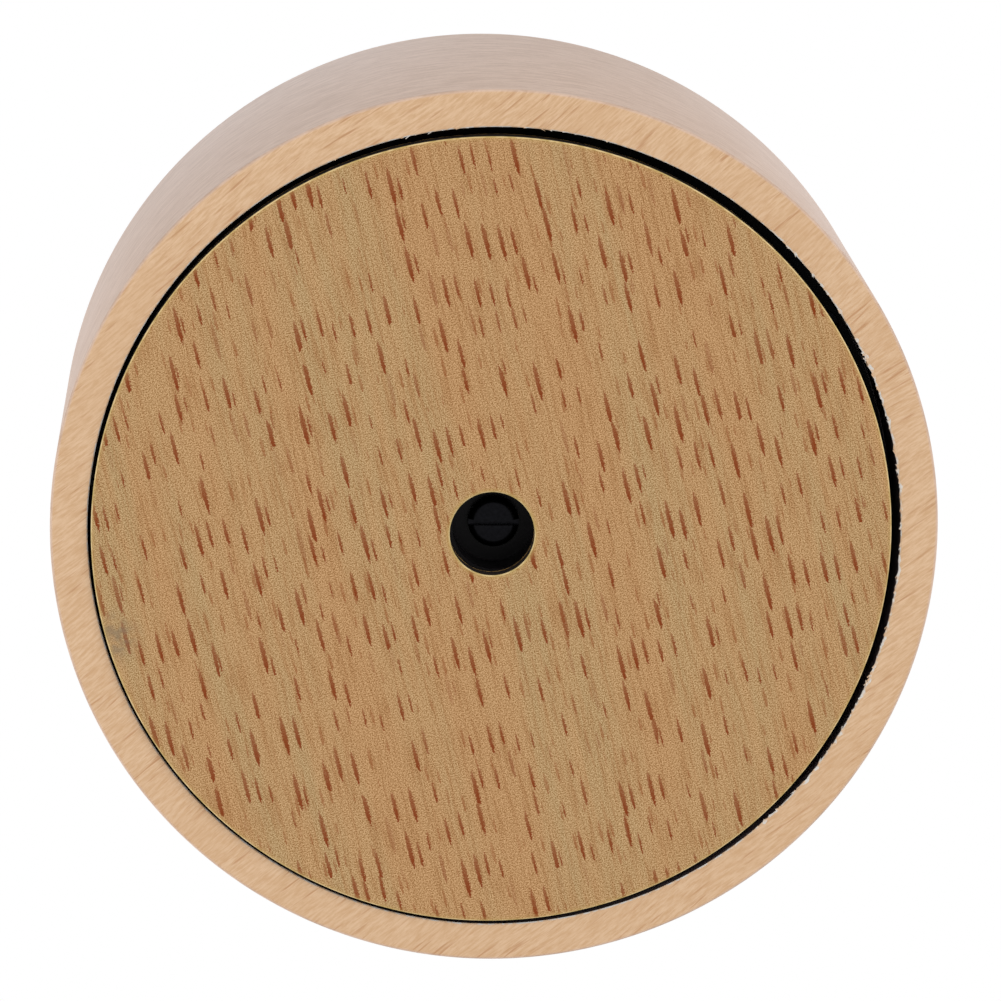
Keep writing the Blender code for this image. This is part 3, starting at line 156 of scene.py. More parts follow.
def calc(tree, operation, *values, clamp=False):
    """One step of arithmetic on numbers or sockets."""
    made = add(tree, "ShaderNodeMath", {"operation": operation, "use_clamp": clamp})
    for socket, value in zip(made.inputs, values):
        fill(tree, socket, value)
    return made.outputs[0]


def vector_calc(tree, operation, *values):
    """One step of arithmetic on vectors or sockets."""
    made = add(tree, "ShaderNodeVectorMath", {"operation": operation})
    for socket, value in zip(made.inputs, values):
        fill(tree, socket, value)
    return made


def fade(tree, value, start, end, low=0.0, high=1.0):
    """A smooth step from low at start to high at end."""
    made = add(tree, "ShaderNodeMapRange", {"interpolation_type": "SMOOTHSTEP"}, Value=value,
               From_Min=start, From_Max=end, To_Min=low, To_Max=high)
    return made.outputs["Result"]


def mixed(tree, factor, first, second, blend="MIX"):
    """Two colours mixed. The sockets of a Mix node share their names, so they are numbered."""
    made = add(tree, "ShaderNodeMix", {"data_type": "RGBA", "blend_type": blend})
    for index, value in ((0, factor), (6, first), (7, second)):
        fill(tree, made.inputs[index], value)
    return made.outputs[2]


# %% [markdown]
# The space of a pattern
#
# A pattern could follow a UV map, but wood is solid: its fibres go in at one face and come out
# at another. Object coordinates give that for nothing, and the pattern then stays in the wood
# when the piece moves. They are turned so that X or Y runs along the grain, and scaled to
# millimetres, so that every number in a pattern is a real size.

# %% Places, noise and bumps


def grain_space(tree, degrees, centre=(0, 0, 0)):
    """Object coordinates in millimetres, turned about the upright axis through a centre."""
    place = add(tree, "ShaderNodeTexCoord").outputs["Object"]
    moved = vector_calc(tree, "SUBTRACT", place, centre).outputs[0]
    made = add(tree, "ShaderNodeMapping", Vector=moved, Rotation=(0, 0, math.radians(degrees)),
               Scale=(1 / MM, 1 / MM, 1 / MM))
    return made.outputs[0]


def stretched(tree, vector, x, y, z):
    """A vector with each part multiplied. A small number draws the pattern out that way."""
    return vector_calc(tree, "MULTIPLY", vector, (x, y, z)).outputs[0]


def away_from_axis(tree, vector):
    """Distance from the upright axis, in the vector's own unit."""
    flat = stretched(tree, vector, 1, 1, 0)
    return vector_calc(tree, "LENGTH", flat).outputs["Value"]


def noise(tree, vector, scale=1.0, detail=2.0, roughness=0.5):
    """Cloudy noise from 0 to 1, mostly near one half."""
    made = add(tree, "ShaderNodeTexNoise", Vector=vector, Scale=scale, Detail=detail,
               Roughness=roughness)
    return made.outputs["Fac"]


def bump(tree, shader, height, strength, distance_mm):
    """Shades a surface as if it had fine relief. The height goes from 0 to 1."""
    made = add(tree, "ShaderNodeBump", Height=height, Strength=strength,
               Distance=distance_mm * MM)
    tree.links.new(made.outputs["Normal"], shader.inputs["Normal"])


def count_nodes(*materials):
    """Prints how large each material came out."""
    for material in materials:
        print(material.name, "has", len(material.node_tree.nodes), "nodes")


# %% [markdown]
# Solid beech
#
# The case is turned from one block, so the same fibres run through all of its faces. A wave
# texture could draw the grain, but it is too regular for beech. Here the coordinates are turned
# until X runs along the fibres, and noise is then stretched far along X. Fine, medium and broad
# layers give the pale lines, the darker strokes and the slow drift of colour. On the outer side
# the lathe left faint rings, and sanding dust in the pores makes the wood look pale when it is
# seen at a low angle, which is what sheen does. The outer side's colour is also painted paler
# and bluer than the beech, a painted sheen for that low-angle haze.

# %% Material of the case
BEECH_PALE = screen_colour(230, 194, 157)
BEECH_DEEP = screen_colour(211, 169, 126)
BEECH_STROKE = screen_colour(190, 138, 94)
# The outer side's two tones are paler and bluer than the beech: a painted sheen for its low-angle
# haze.
SIDE_TONE_PAINTED_SHEEN = screen_colour(234, 207, 192)
SIDE_DEEP_PAINTED_SHEEN = screen_colour(203, 173, 156)
DUST_TINT = (0.9, 0.92, 1.0, 1.0)
GRAIN_DEGREES = 38
GRAIN_SWAY = 5.0
SIDE_SHARE = 0.65
SIDE_FADE = 0.1


def lathe_rings_and_painted_sheen(tree):
    """The colour of the outer side: close rings round the axis, broken up a little, in tones
    painted paler and bluer than the beech as a painted sheen.
    """
    plain = grain_space(tree, 0)
    rings = noise(tree, stretched(tree, plain, 0.28, 0.28, 1.5), detail=4, roughness=0.75)
    return mixed(tree, fade(tree, rings, 0.36, 0.66), SIDE_TONE_PAINTED_SHEEN, SIDE_DEEP_PAINTED_SHEEN)


def make_case_wood():
    """Beech whose fibres run through the block, with the lathe's rings and a painted sheen on its
    outer side.
    """
    material, tree, shader = new_material("turned_beech", Roughness=0.62, Sheen_Weight=0.3,
                                          Sheen_Roughness=0.35, Sheen_Tint=DUST_TINT)
    space = grain_space(tree, GRAIN_DEGREES)
    drift = noise(tree, stretched(tree, space, 0.03, 0.05, 0.05), detail=1)
    sway = add(tree, "ShaderNodeCombineXYZ", Y=calc(tree, "MULTIPLY", drift, GRAIN_SWAY))
    fibres = vector_calc(tree, "ADD", space, sway.outputs[0]).outputs[0]
    fine = noise(tree, stretched(tree, fibres, 0.6, 4.0, 3.0), detail=4, roughness=0.7)
    bands = noise(tree, stretched(tree, fibres, 0.03, 0.3, 0.3), detail=2)
    strokes = noise(tree, stretched(tree, fibres, 0.18, 2.7, 2.0), detail=2)
    colour = mixed(tree, fade(tree, fine, 0.32, 0.68, 0.0, 0.95), BEECH_PALE, BEECH_DEEP)
    colour = mixed(tree, fade(tree, bands, 0.4, 0.75, 0.0, 0.3), colour, BEECH_DEEP)
    colour = mixed(tree, fade(tree, strokes, 0.6, 0.74, 0.0, 0.8), colour, BEECH_STROKE)
    radius = away_from_axis(tree, grain_space(tree, 0))
    # Painted sheen: the paler, bluer side colour is laid over the beech on the outer side.
    on_side_with_painted_sheen = fade(tree, radius, (CASE_RADIUS - CASE_ARRIS) / MM, CASE_RADIUS / MM - SIDE_FADE,
                   0.0, SIDE_SHARE)
    colour = mixed(tree, on_side_with_painted_sheen, colour, lathe_rings_and_painted_sheen(tree))
    tree.links.new(colour, shader.inputs["Base Color"])
    bump(tree, shader, fine, 0.25, 0.05)
    return material


case_wood = make_case_wood()
count_nodes(case_wood)

# %% [markdown]
# Black paint and torn wood
#
# The inside of the case was painted black before the board went in. A plain black would leave
# the gap dead, so the paint is given a grey far lighter than black paint, a painted light that
# lifts the shaded gap; it is a little glossy, with brush marks round the bore, and the gap reads
# as black with soft lights in it. The torn edge of the wood in front of the paint is bare and
# dry, so it is the palest and the roughest of the finishes.

# %% Materials of the bore and of its torn edge
# Both paint tones are far lighter than black paint: painted light that lifts the shaded gap.
PAINT_DEEP_WITH_PAINTED_LIGHT = screen_colour(62, 52, 53)
PAINT_PALE_WITH_PAINTED_LIGHT = screen_colour(118, 104, 106)
TORN_WOOD = screen_colour(228, 222, 214)


def make_black_paint():
    """Black paint lifted to grey by painted light, with brush marks that run round the bore."""
    material, tree, shader = new_material("black_paint", Roughness=0.4)
    space = grain_space(tree, 0)
    marks = noise(tree, stretched(tree, space, 0.6, 0.6, 5.0), detail=3)
    colour = mixed(tree, fade(tree, marks, 0.35, 0.65), PAINT_DEEP_WITH_PAINTED_LIGHT, PAINT_PALE_WITH_PAINTED_LIGHT)
    tree.links.new(colour, shader.inputs["Base Color"])
    bump(tree, shader, marks, 0.4, 0.1)
    return material


def make_torn_wood():
    """Bare torn fibres, pale grey with patches of clean wood."""
    material, tree, shader = new_material("torn_fibre", Roughness=0.8)
    space = grain_space(tree, 0)
    patches = noise(tree, space, scale=1.4, detail=2)
    colour = mixed(tree, fade(tree, patches, 0.4, 0.6), TORN_WOOD, BEECH_PALE)
    tree.links.new(colour, shader.inputs["Base Color"])
    bump(tree, shader, patches, 0.5, 0.05)
    return material


black_paint = make_black_paint()
torn_wood = make_torn_wood()
count_nodes(black_paint, torn_wood)

# %% [markdown]
# Turned shapes
#
# Nearly every piece here was made on a lathe or moulded round. A cylinder with a bevel would do
# for some of them, but a spun outline does for all: it is drawn once as a closed chain of
# edges, as a turner would draw it, and spun about the upright axis. A full spin with its ends
# merged gives a closed skin. The normals are worked out afterwards, because a spin can come out
# with its skin facing inwards.

# %% Outlines and their spin
SAME_POINT = 0.001 * MM


def turned(outline, sides, centre=(0, 0)):
    """A closed shape spun about an upright axis. The outline is a list of (radius, height).

    An edge that lies on the axis would make no skin, so it is left out.
    """
    shape = bmesh.new()
    points = [shape.verts.new((radius, 0, height)) for radius, height in outline]
    edges = [shape.edges.new(pair) for pair in zip(points, points[1:] + points[:1])
             if pair[0].co.x > 0 or pair[1].co.x > 0]
    bmesh.ops.spin(shape, geom=points + edges, cent=(0, 0, 0), axis=(0, 0, 1),
                   angle=2 * math.pi, steps=sides, use_merge=True)
    bmesh.ops.remove_doubles(shape, verts=shape.verts, dist=SAME_POINT)
    bmesh.ops.recalc_face_normals(shape, faces=shape.faces)
    bmesh.ops.translate(shape, verts=shape.verts, vec=(*centre, 0))
    return shape


def quarter_round(radius, level, size, start, steps=6):
    """Points of a rounded edge. Its centre is (radius, level) and start is in quarter turns."""
    turns = [math.pi / 2 * (start + step / steps) for step in range(steps + 1)]
    return [(radius + size * math.cos(turn), level + size * math.sin(turn)) for turn in turns]


# %% A finished piece
SHARP_ANGLE = math.radians(35)


def finish(name, shape, body, materials, replaces=()):
    """Makes a bmesh a piece: named, shaded smooth, dressed and riding on its body."""
    mesh = bpy.data.meshes.new(name)
    shape.to_mesh(mesh)
    shape.free()
    for material in materials:
        mesh.materials.append(material)
    mesh.shade_smooth()
    mesh.set_sharp_from_angle(angle=SHARP_ANGLE)
    piece = bpy.data.objects.new(name, mesh)
    bpy.context.scene.collection.objects.link(piece)
    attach(piece, body)
    if replaces:
        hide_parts(*replaces)
    print(name, "has", len(mesh.polygons), "faces")
    return piece


# %% [markdown]
# The chipped edge
#
# The edge between the rim and the bore was chipped when the bore was painted and the board was
# fitted. A bump in the material could only shade it, and the black gap would keep a clean edge.
# So the points of the edge are really moved out, each by a seeded random depth that is blended
# with its neighbours. The chips are deepest on the side where the gap is wide. Over most of that
# stretch they have their full strength, past it they fall off, and the rest keeps small ones.

# %% How deep the edge is chipped
CASE_SIDES = 1080
CHIP_CHAMFER = 0.1 * MM
CHIP_REACH = 0.45 * MM
CHIP_FROM_DEGREES = -46
CHIP_TO_DEGREES = 50
CHIP_SEED = 7
CHIP_RANGE = (-0.4, 1.0)
CHIP_CONTRAST = 1.5
CHIP_FULL_SHARE = 0.8
CHIP_FALL = 2.5
CHIP_ELSEWHERE = 0.12


def edge_walk():
    """A seeded number for each side of the case, blended with the numbers beside it."""
    draw = random.Random(CHIP_SEED)
    steps = [draw.uniform(*CHIP_RANGE) for _ in range(CASE_SIDES)]
    before = steps[-1:] + steps[:-1]
    after = steps[1:] + steps[:1]
    return [(first + 2 * here + last) / 4 for first, here, last in zip(before, steps, after)]


def chip_depth(degrees, step):
    """How far the edge is torn back at an angle, from the walk's step and the side of the case."""
    middle = (CHIP_FROM_DEGREES + CHIP_TO_DEGREES) / 2
    half = (CHIP_TO_DEGREES - CHIP_FROM_DEGREES) / 2
    away = abs((degrees - middle + 180) % 360 - 180) / half
    fallen = 1.0 - (away - CHIP_FULL_SHARE) * CHIP_FALL
    strength = 1.0 if away < CHIP_FULL_SHARE else max(CHIP_ELSEWHERE, fallen)
    return CHIP_REACH * strength * max(0.0, step) ** CHIP_CONTRAST


print("deepest chip in mm:", round(max(chip_depth(0, step) for step in edge_walk()) / MM, 2))

# %% [markdown]
# The case
#
# The outline starts at the bore, goes round the rim and up the outer side, and comes back over
# the closed top and down inside. The narrow step inside is where the mounting board is screwed.
# Two solids and a Boolean would give the same cup, but one spun outline leaves clean faces that
# can be sorted by their place: bare wood outside, paint inside and torn wood on the thin
# chamfer between them.

# %% The case, turned and chipped
WOOD, PAINT, TORN = range(3)
WALL_SHARE = 0.25


def tear_edge(shape):
    """Moves the points of the bore's edge out. The upper ones, in the wall, move less."""
    walk = edge_walk()
    for vert in shape.verts:
        radius = vert.co.to_2d().length
        if vert.co.z > RIM_LEVEL + 2 * CHIP_CHAMFER or radius > BORE_RADIUS + 1.5 * CHIP_CHAMFER:
            continue
        degrees = math.degrees(math.atan2(vert.co.y, vert.co.x))
        depth = chip_depth(degrees, walk[round(degrees / 360 * CASE_SIDES) % CASE_SIDES])
        share = 1.0 if vert.co.z <= RIM_LEVEL else WALL_SHARE
        vert.co.x *= 1 + depth * share / radius
        vert.co.y *= 1 + depth * share / radius


def sort_case_faces(shape, ceiling):
    """Gives each face of the case its finish by its place."""
    for face in shape.faces:
        middle = face.calc_center_median()
        radius = middle.to_2d().length
        if radius < BORE_RADIUS + 0.5 * CHIP_CHAMFER and middle.z < ceiling + MM:
            face.material_index = PAINT
        if middle.z < RIM_LEVEL + CHIP_CHAMFER and radius < BORE_RADIUS + CHIP_REACH:
            face.material_index = TORN if middle.z > RIM_LEVEL + 0.1 * CHIP_CHAMFER else WOOD


def make_case():
    """The cup of the case, with its rounded edges, its chipped mouth and the step inside."""
    centre = CASE_RADIUS - CASE_ARRIS
    cavity = BORE_RADIUS - CASE_STEP
    top = case_high.z
    ceiling = top - CASE_TOP
    outline = [(BORE_RADIUS, RIM_LEVEL + CHIP_CHAMFER), (BORE_RADIUS + CHIP_CHAMFER, RIM_LEVEL),
               (BORE_RADIUS + CHIP_CHAMFER + CHIP_REACH, RIM_LEVEL)]
    outline += quarter_round(centre, RIM_LEVEL + CASE_ARRIS, CASE_ARRIS, -1)
    outline += quarter_round(centre, top - CASE_ARRIS, CASE_ARRIS, 0)
    outline += [(0, top), (0, ceiling), (cavity, ceiling), (cavity, STEP_LEVEL),
                (BORE_RADIUS, STEP_LEVEL)]
    shape = turned(outline, CASE_SIDES)
    tear_edge(shape)
    sort_case_faces(shape, ceiling)
    return finish("case_body", shape, "case", [case_wood, black_paint, torn_wood],
                  ["case_shell"])


make_case()

# %% [markdown]
# Torn fibres
#
# Where the edge is chipped, short fibres stand into the gap. Hair particles could grow them by
# the thousand, but there are few, so each is a real shape: a thin cone from an operator, turned
# to lie nearly along the edge. Most lie on the chipped side, and every ninth on another stretch.

# %% Slivers along the chipped edge
FIBRE_COUNT = 190
FIBRE_SEED = 11
FIBRE_SIDES = 5
FIBRE_LENGTHS_MM = (0.3, 1.1)
FIBRE_WIDTHS_MM = (0.04, 0.09)
FIBRE_LEAN_DEGREES = 25
FIBRE_TIP_SHARE = 0.2
# A fibre's middle lies this far into the wood, and this far above the rim.
FIBRE_SEAT = 0.05 * MM
FIBRE_LEVEL = RIM_LEVEL + 0.1 * MM
OTHER_STRETCH_DEGREES = (-115, -70)
OTHER_STRETCH_EVERY = 9


def fibre_place(degrees, lean, side):
    """Where a fibre lies: on the edge at an angle, along it, and leaning into the gap."""
    turn = math.radians(degrees)
    outward = Vector((math.cos(turn), math.sin(turn), 0))
    along = Vector((-math.sin(turn), math.cos(turn), 0)) * side
    direction = along * math.cos(lean) - outward * math.sin(lean)
    spot = outward * (BORE_RADIUS + FIBRE_SEAT)
    spot.z = FIBRE_LEVEL
    return Matrix.Translation(spot) @ direction.to_track_quat("Z", "Y").to_matrix().to_4x4()


def make_fibres():
    """The slivers of torn wood, in one mesh that belongs to the case."""
    draw = random.Random(FIBRE_SEED)
    shape = bmesh.new()
    for number in range(FIBRE_COUNT):
        if number % OTHER_STRETCH_EVERY == 0:
            degrees = draw.uniform(*OTHER_STRETCH_DEGREES)
        else:
            degrees = draw.uniform(CHIP_FROM_DEGREES, CHIP_TO_DEGREES)
        length = draw.uniform(*FIBRE_LENGTHS_MM) * MM
        width = draw.uniform(*FIBRE_WIDTHS_MM) * MM
        made = bmesh.ops.create_cone(shape, cap_ends=True, segments=FIBRE_SIDES, radius1=width,
                                     radius2=width * FIBRE_TIP_SHARE, depth=length)
        lean = math.radians(draw.uniform(-FIBRE_LEAN_DEGREES, FIBRE_LEAN_DEGREES))
        side = draw.choice((-1, 1))
        bmesh.ops.transform(shape, matrix=fibre_place(degrees, lean, side), verts=made["verts"])
    return finish("torn_fibres", shape, "case", [torn_wood])


make_fibres()

# %% [markdown]
# Flecks
#
# The board is sawn so that the rays of the beech show as short dark flecks. Stretched noise would
# give streaks without ends, and a fleck has two. So a Voronoi texture gives each cell a random
# point, and the distance to it along and across the grain is measured apart. A fleck is where
# the distance across is less than what the distance along has left over, which is a spindle.
# Noise makes its sides ragged, chance changes its size, and it is darkest towards one end.

# %% A mask of flecks
FLECK_WOBBLE = 0.3
FLECK_RAGGED = 1.6
FLECK_LEAST_SIZE = 0.4
FLECK_TAPER = 3.0


def fleck_cells(tree, space, wide, long, seed):
    """Cells of wide by long millimetres: the way from each one's point, and its chances."""
    rough = noise(tree, space, scale=3.0, detail=3, roughness=0.7)
    wobble = calc(tree, "MULTIPLY_ADD", rough, FLECK_WOBBLE, seed - FLECK_WOBBLE / 2)
    shift = add(tree, "ShaderNodeCombineXYZ", X=wobble)
    moved = vector_calc(tree, "ADD", space, shift.outputs[0]).outputs[0]
    place = stretched(tree, moved, 1 / wide, 1 / long, 0)
    cells = add(tree, "ShaderNodeTexVoronoi", {"voronoi_dimensions": "2D"}, Vector=place,
                Scale=1.0, Randomness=0.9)
    apart = vector_calc(tree, "SUBTRACT", place, cells.outputs["Position"]).outputs[0]
    parts = add(tree, "ShaderNodeSeparateXYZ", Vector=apart)
    chance = add(tree, "ShaderNodeSeparateColor", Color=cells.outputs["Color"])
    return parts.outputs, chance.outputs


def flecks(tree, space, wide, long, half_width, half_length, seed, rarity):
    """A mask of spindles, one in a cell at most. Rarity is the share of cells left empty."""
    parts, chance = fleck_cells(tree, space, wide, long, seed)
    size = calc(tree, "MULTIPLY_ADD", chance[0], 1 - FLECK_LEAST_SIZE, FLECK_LEAST_SIZE)
    middle = calc(tree, "ABSOLUTE", calc(tree, "MULTIPLY", parts[0], wide / half_width))
    ragged = noise(tree, space, scale=6.0, detail=2)
    edge = calc(tree, "MULTIPLY_ADD", ragged, FLECK_RAGGED, -FLECK_RAGGED / 2)
    across = calc(tree, "ADD", middle, edge)
    along = calc(tree, "DIVIDE", calc(tree, "MULTIPLY", parts[1], long / half_length), size)
    taper = calc(tree, "POWER", calc(tree, "ABSOLUTE", along), FLECK_TAPER)
    room = calc(tree, "MULTIPLY", calc(tree, "SUBTRACT", 1.0, taper), size)
    body = fade(tree, calc(tree, "SUBTRACT", room, across), -0.1, 0.3)
    ends = calc(tree, "MULTIPLY_ADD", along, 0.25, 0.85, clamp=True)
    strength = fade(tree, chance[1], rarity, rarity + 0.3)
    return calc(tree, "MULTIPLY", calc(tree, "MULTIPLY", body, ends), strength)


# %% [markdown]
# The wood of the board
#
# The board has the same wood as the case, sawn another way and left unpolished. Three tones
# drift along the grain, thin streaks run in it, and fine sanding marks make every spot a little
# lighter or darker. That could be left to the bump, but the photograph shows it as colour, so it
# multiplies the colour, blue more than red. Two layers of flecks, long and short, give the mix
# of sizes, and a grey rub mark sits near the edge.

# %% Colours and places on the board
BOARD_TAN = screen_colour(196, 154, 105)
BOARD_OLIVE = screen_colour(190, 155, 107)
BOARD_PINK = screen_colour(196, 150, 101)
BOARD_STREAK = screen_colour(172, 122, 74)
# The yellow at the board's rim and hole is partly the veneer edge and partly a painted highlight.
BOARD_RIM_AND_PAINTED_HIGHLIGHT = screen_colour(196, 164, 100)
FLECK = screen_colour(146, 76, 30)
FLECK_DEEP = screen_colour(132, 52, 6)
RUB_MARK = screen_colour(140, 122, 98)
RUB_CENTRE = Vector((-38.9, 11.0, 0)) * MM
RUB_REACH_MM = 3.8
RUB_CORE_MM = 0.6
FLECK_DEGREES = 14
# Sanding multiplies each colour by something between its two numbers.
SANDED = {"Red": (0.54, 1.36), "Green": (0.44, 1.5), "Blue": (0.26, 1.78)}
EDGE_TONE_MM = (0.6, 0.1)


def board_grain(tree, space):
    """The drifting tones and the thin streaks along the grain."""
    bands = noise(tree, stretched(tree, space, 0.4, 0.03, 0.2), detail=3)
    patches = noise(tree, stretched(tree, space, 0.14, 0.012, 0.1), detail=2)
    streaks = noise(tree, stretched(tree, space, 2.4, 0.16, 0.2), detail=2)
    colour = mixed(tree, fade(tree, bands, 0.35, 0.65), BOARD_OLIVE, BOARD_TAN)
    colour = mixed(tree, fade(tree, patches, 0.4, 0.65), colour, BOARD_PINK)
    return mixed(tree, fade(tree, streaks, 0.45, 0.7, 0.0, 0.55), colour, BOARD_STREAK)


def rub_mask(tree, space):
    """Where the grey rub mark shows: round its centre, and broken up by noise."""
    away = away_from_axis(tree, grain_space(tree, 0, RUB_CENTRE))
    smear = noise(tree, space, scale=0.9, detail=3)
    near = fade(tree, away, RUB_REACH_MM, RUB_CORE_MM)
    return calc(tree, "MULTIPLY", near, fade(tree, smear, 0.35, 0.65, 0.1, 0.75))


def edge_tone_and_painted_highlight(tree):
    """Where the board is a little yellower, partly its pale veneer edge and partly a painted
    highlight: in a narrow band at its rim and round its hole.
    """
    radius = away_from_axis(tree, grain_space(tree, 0, DISC_CENTRE))
    outside = DISC_RADIUS / MM
    hole = HOLE_RADIUS / MM
    wide, narrow = EDGE_TONE_MM
    rim = fade(tree, radius, outside - wide, outside - narrow, 0.0, 0.3)
    mouth = fade(tree, radius, hole + wide, hole + narrow, 0.0, 0.5)
    return calc(tree, "MAXIMUM", rim, mouth)


print("rub mark at", [round(value / MM, 1) for value in RUB_CENTRE], "mm")

# %% Material of the board


def make_board_wood():
    """Sanded beech with flecks, a rub mark and yellower edges that are partly a painted highlight.
    """
    material, tree, shader = new_material("flecked_beech", Roughness=0.6,
                                          Specular_IOR_Level=0.12)
    space = grain_space(tree, FLECK_DEGREES)
    colour = board_grain(tree, space)
    sand = noise(tree, space, scale=8.0, detail=2, roughness=0.8)
    shades = {name: fade(tree, sand, 0.38, 0.62, *ends) for name, ends in SANDED.items()}
    shade = add(tree, "ShaderNodeCombineColor", **shades)
    colour = mixed(tree, 1.0, colour, shade.outputs[0], "MULTIPLY")
    long_flecks = flecks(tree, space, 1.6, 4.5, 0.27, 2.3, 0.0, 0.15)
    short_flecks = flecks(tree, space, 1.4, 3.4, 0.18, 1.3, 31.7, 0.4)
    colour = mixed(tree, calc(tree, "MULTIPLY", short_flecks, 0.6), colour, FLECK)
    colour = mixed(tree, calc(tree, "MULTIPLY", long_flecks, 0.95), colour, FLECK_DEEP)
    colour = mixed(tree, rub_mask(tree, space), colour, RUB_MARK)
    colour = mixed(tree, edge_tone_and_painted_highlight(tree), colour, BOARD_RIM_AND_PAINTED_HIGHLIGHT)
    tree.links.new(colour, shader.inputs["Base Color"])
    bump(tree, shader, sand, 0.15, 0.04)
    return material


board_wood = make_board_wood()
count_nodes(board_wood)

# %% [markdown]
# The board's edges
#
# The saw scorched the edge of the board, and where the edge meets a face a thin bright line
# shows, partly pale wood and partly a painted highlight. Both could be masks in the board's own
# material, but the line is only a tenth of a millimetre wide, and a separate material on its own
# ring of faces keeps it crisp.

# %% Materials of the board's edges
SCORCHED = screen_colour(34, 24, 18)
BACK_LINE = screen_colour(206, 164, 96)
# The arris line is brighter than the board: partly pale wood, partly a painted highlight.
ARRIS_WOOD_AND_PAINTED_HIGHLIGHT = screen_colour(236, 208, 150)
ARRIS_DULL_AND_PAINTED_HIGHLIGHT = screen_colour(200, 172, 104)
BACK_LEVEL_MM = disc_high.z / MM
BACK_LINE_FROM_MM = 0.28
BACK_LINE_FULL_MM = 0.14


def make_board_edge():
    """Scorched wood on the sawn edge, with a bright line where it meets the back."""
    material, tree, shader = new_material("scorched_edge", Roughness=0.6)
    space = grain_space(tree, 0)
    level = add(tree, "ShaderNodeSeparateXYZ", Vector=space).outputs[2]
    back = fade(tree, level, BACK_LEVEL_MM - BACK_LINE_FROM_MM, BACK_LEVEL_MM - BACK_LINE_FULL_MM)
    wear = noise(tree, space, scale=1.1, detail=3)
    bare = calc(tree, "MULTIPLY", back, fade(tree, wear, 0.35, 0.6))
    tree.links.new(mixed(tree, bare, SCORCHED, BACK_LINE), shader.inputs["Base Color"])
    return material


def make_arris_wood_and_painted_highlight():
    """The arrises' pale wood with a painted highlight in it, duller in places."""
    material, tree, shader = new_material("bright_arris", Roughness=0.5)
    wear = noise(tree, grain_space(tree, 0), scale=0.7, detail=2)
    colour = mixed(tree, fade(tree, wear, 0.4, 0.62), ARRIS_WOOD_AND_PAINTED_HIGHLIGHT, ARRIS_DULL_AND_PAINTED_HIGHLIGHT)
    tree.links.new(colour, shader.inputs["Base Color"])
    return material


board_edge = make_board_edge()
arris_wood_and_painted_highlight = make_arris_wood_and_painted_highlight()
count_nodes(board_edge, arris_wood_and_painted_highlight)

# %% [markdown]
# The board in the underside
#
# The board is a flat ring, spun like the case about its own centre. Its face and its edges take
# different finishes. The faces could be picked by their number, but that breaks when the outline
# changes, so they are sorted by which way they point: flat faces are flecked wood, the small
# bevels at the arrises are the bright line, and the upright walls are scorched.

# %% The base board
BOARD_SIDES = 720
FLAT_WOOD, SAWN_EDGE, ARRIS = range(3)
STEEPEST_FLAT = 0.9
STEEPEST_BEVEL = 0.2


def make_board():
    """The board that the box stands on, a ring with fine bevels on its lower arrises."""
    low, high = disc_low.z, disc_high.z
    outline = [(HOLE_RADIUS + DISC_ARRIS, low), (DISC_RADIUS - DISC_ARRIS, low),
               (DISC_RADIUS, low + DISC_ARRIS), (DISC_RADIUS, high), (HOLE_RADIUS, high),
               (HOLE_RADIUS, low + DISC_ARRIS)]
    shape = turned(outline, BOARD_SIDES, DISC_CENTRE.to_2d())
    for face in shape.faces:
        upright = abs(face.normal.z)
        if upright < STEEPEST_BEVEL:
            face.material_index = SAWN_EDGE
        elif upright < STEEPEST_FLAT:
            face.material_index = ARRIS
    return finish("base_board", shape, "turntable", [board_wood, board_edge, arris_wood_and_painted_highlight],
                  ["base_disc"])


make_board()

# %% [markdown]
# The screw in the hole
#
# Deep in the hole sits the screw that holds the plate to the winding arbor. Little light reaches
# it, but its domed head gives a faint line. A dark disc could stand for it, but the hole is
# looked into, so the head is turned with its dome and shank, and its slot is really cut: a
# Boolean modifier takes a thin bar out of it, and the bar is thrown away once the cut is made.

# %% Material of the screw
# Both tones are darker than blackened steel: painted shade for the deep hole the screw sits in.
STEEL_DARK_PAINTED_SHADE = screen_colour(12, 12, 13)
STEEL_WORN_PAINTED_SHADE = screen_colour(26, 26, 29)


def make_black_steel():
    """Blackened steel with fine specks, darkened further as painted shade for the deep hole."""
    material, tree, shader = new_material("black_steel", Roughness=0.3, Metallic=1.0)
    specks = noise(tree, grain_space(tree, 0), scale=3.0, detail=2)
    colour = mixed(tree, specks, STEEL_DARK_PAINTED_SHADE, STEEL_WORN_PAINTED_SHADE)
    tree.links.new(colour, shader.inputs["Base Color"])
    bump(tree, shader, specks, 0.2, 0.03)
    return material


black_steel = make_black_steel()
count_nodes(black_steel)

# %% The plate screw and its slot
screw_low, screw_high = corners("plate_screw")
SCREW_SIDES = 64
SCREW_HEAD_RADIUS = (screw_high.x - screw_low.x) / 2
SCREW_HEAD_HEIGHT = 1.5 * MM
SCREW_DOME = SCREW_HEAD_HEIGHT / 2
SCREW_SHANK = 1.2 * MM
SCREW_SLOT = 0.6 * MM


def make_slot_cutter():
    """A bar as wide as the slot and twice its depth, centred on the screw's lower end."""
    shape = bmesh.new()
    bmesh.ops.create_cube(shape, size=1)
    bmesh.ops.scale(shape, vec=(3 * SCREW_HEAD_RADIUS, SCREW_SLOT, 2 * SCREW_SLOT),
                    verts=shape.verts)
    bmesh.ops.translate(shape, vec=(0, 0, screw_low.z), verts=shape.verts)
    mesh = bpy.data.meshes.new("slot_cutter")
    shape.to_mesh(mesh)
    shape.free()
    cutter = bpy.data.objects.new("slot_cutter", mesh)
    bpy.context.scene.collection.objects.link(cutter)
    return cutter


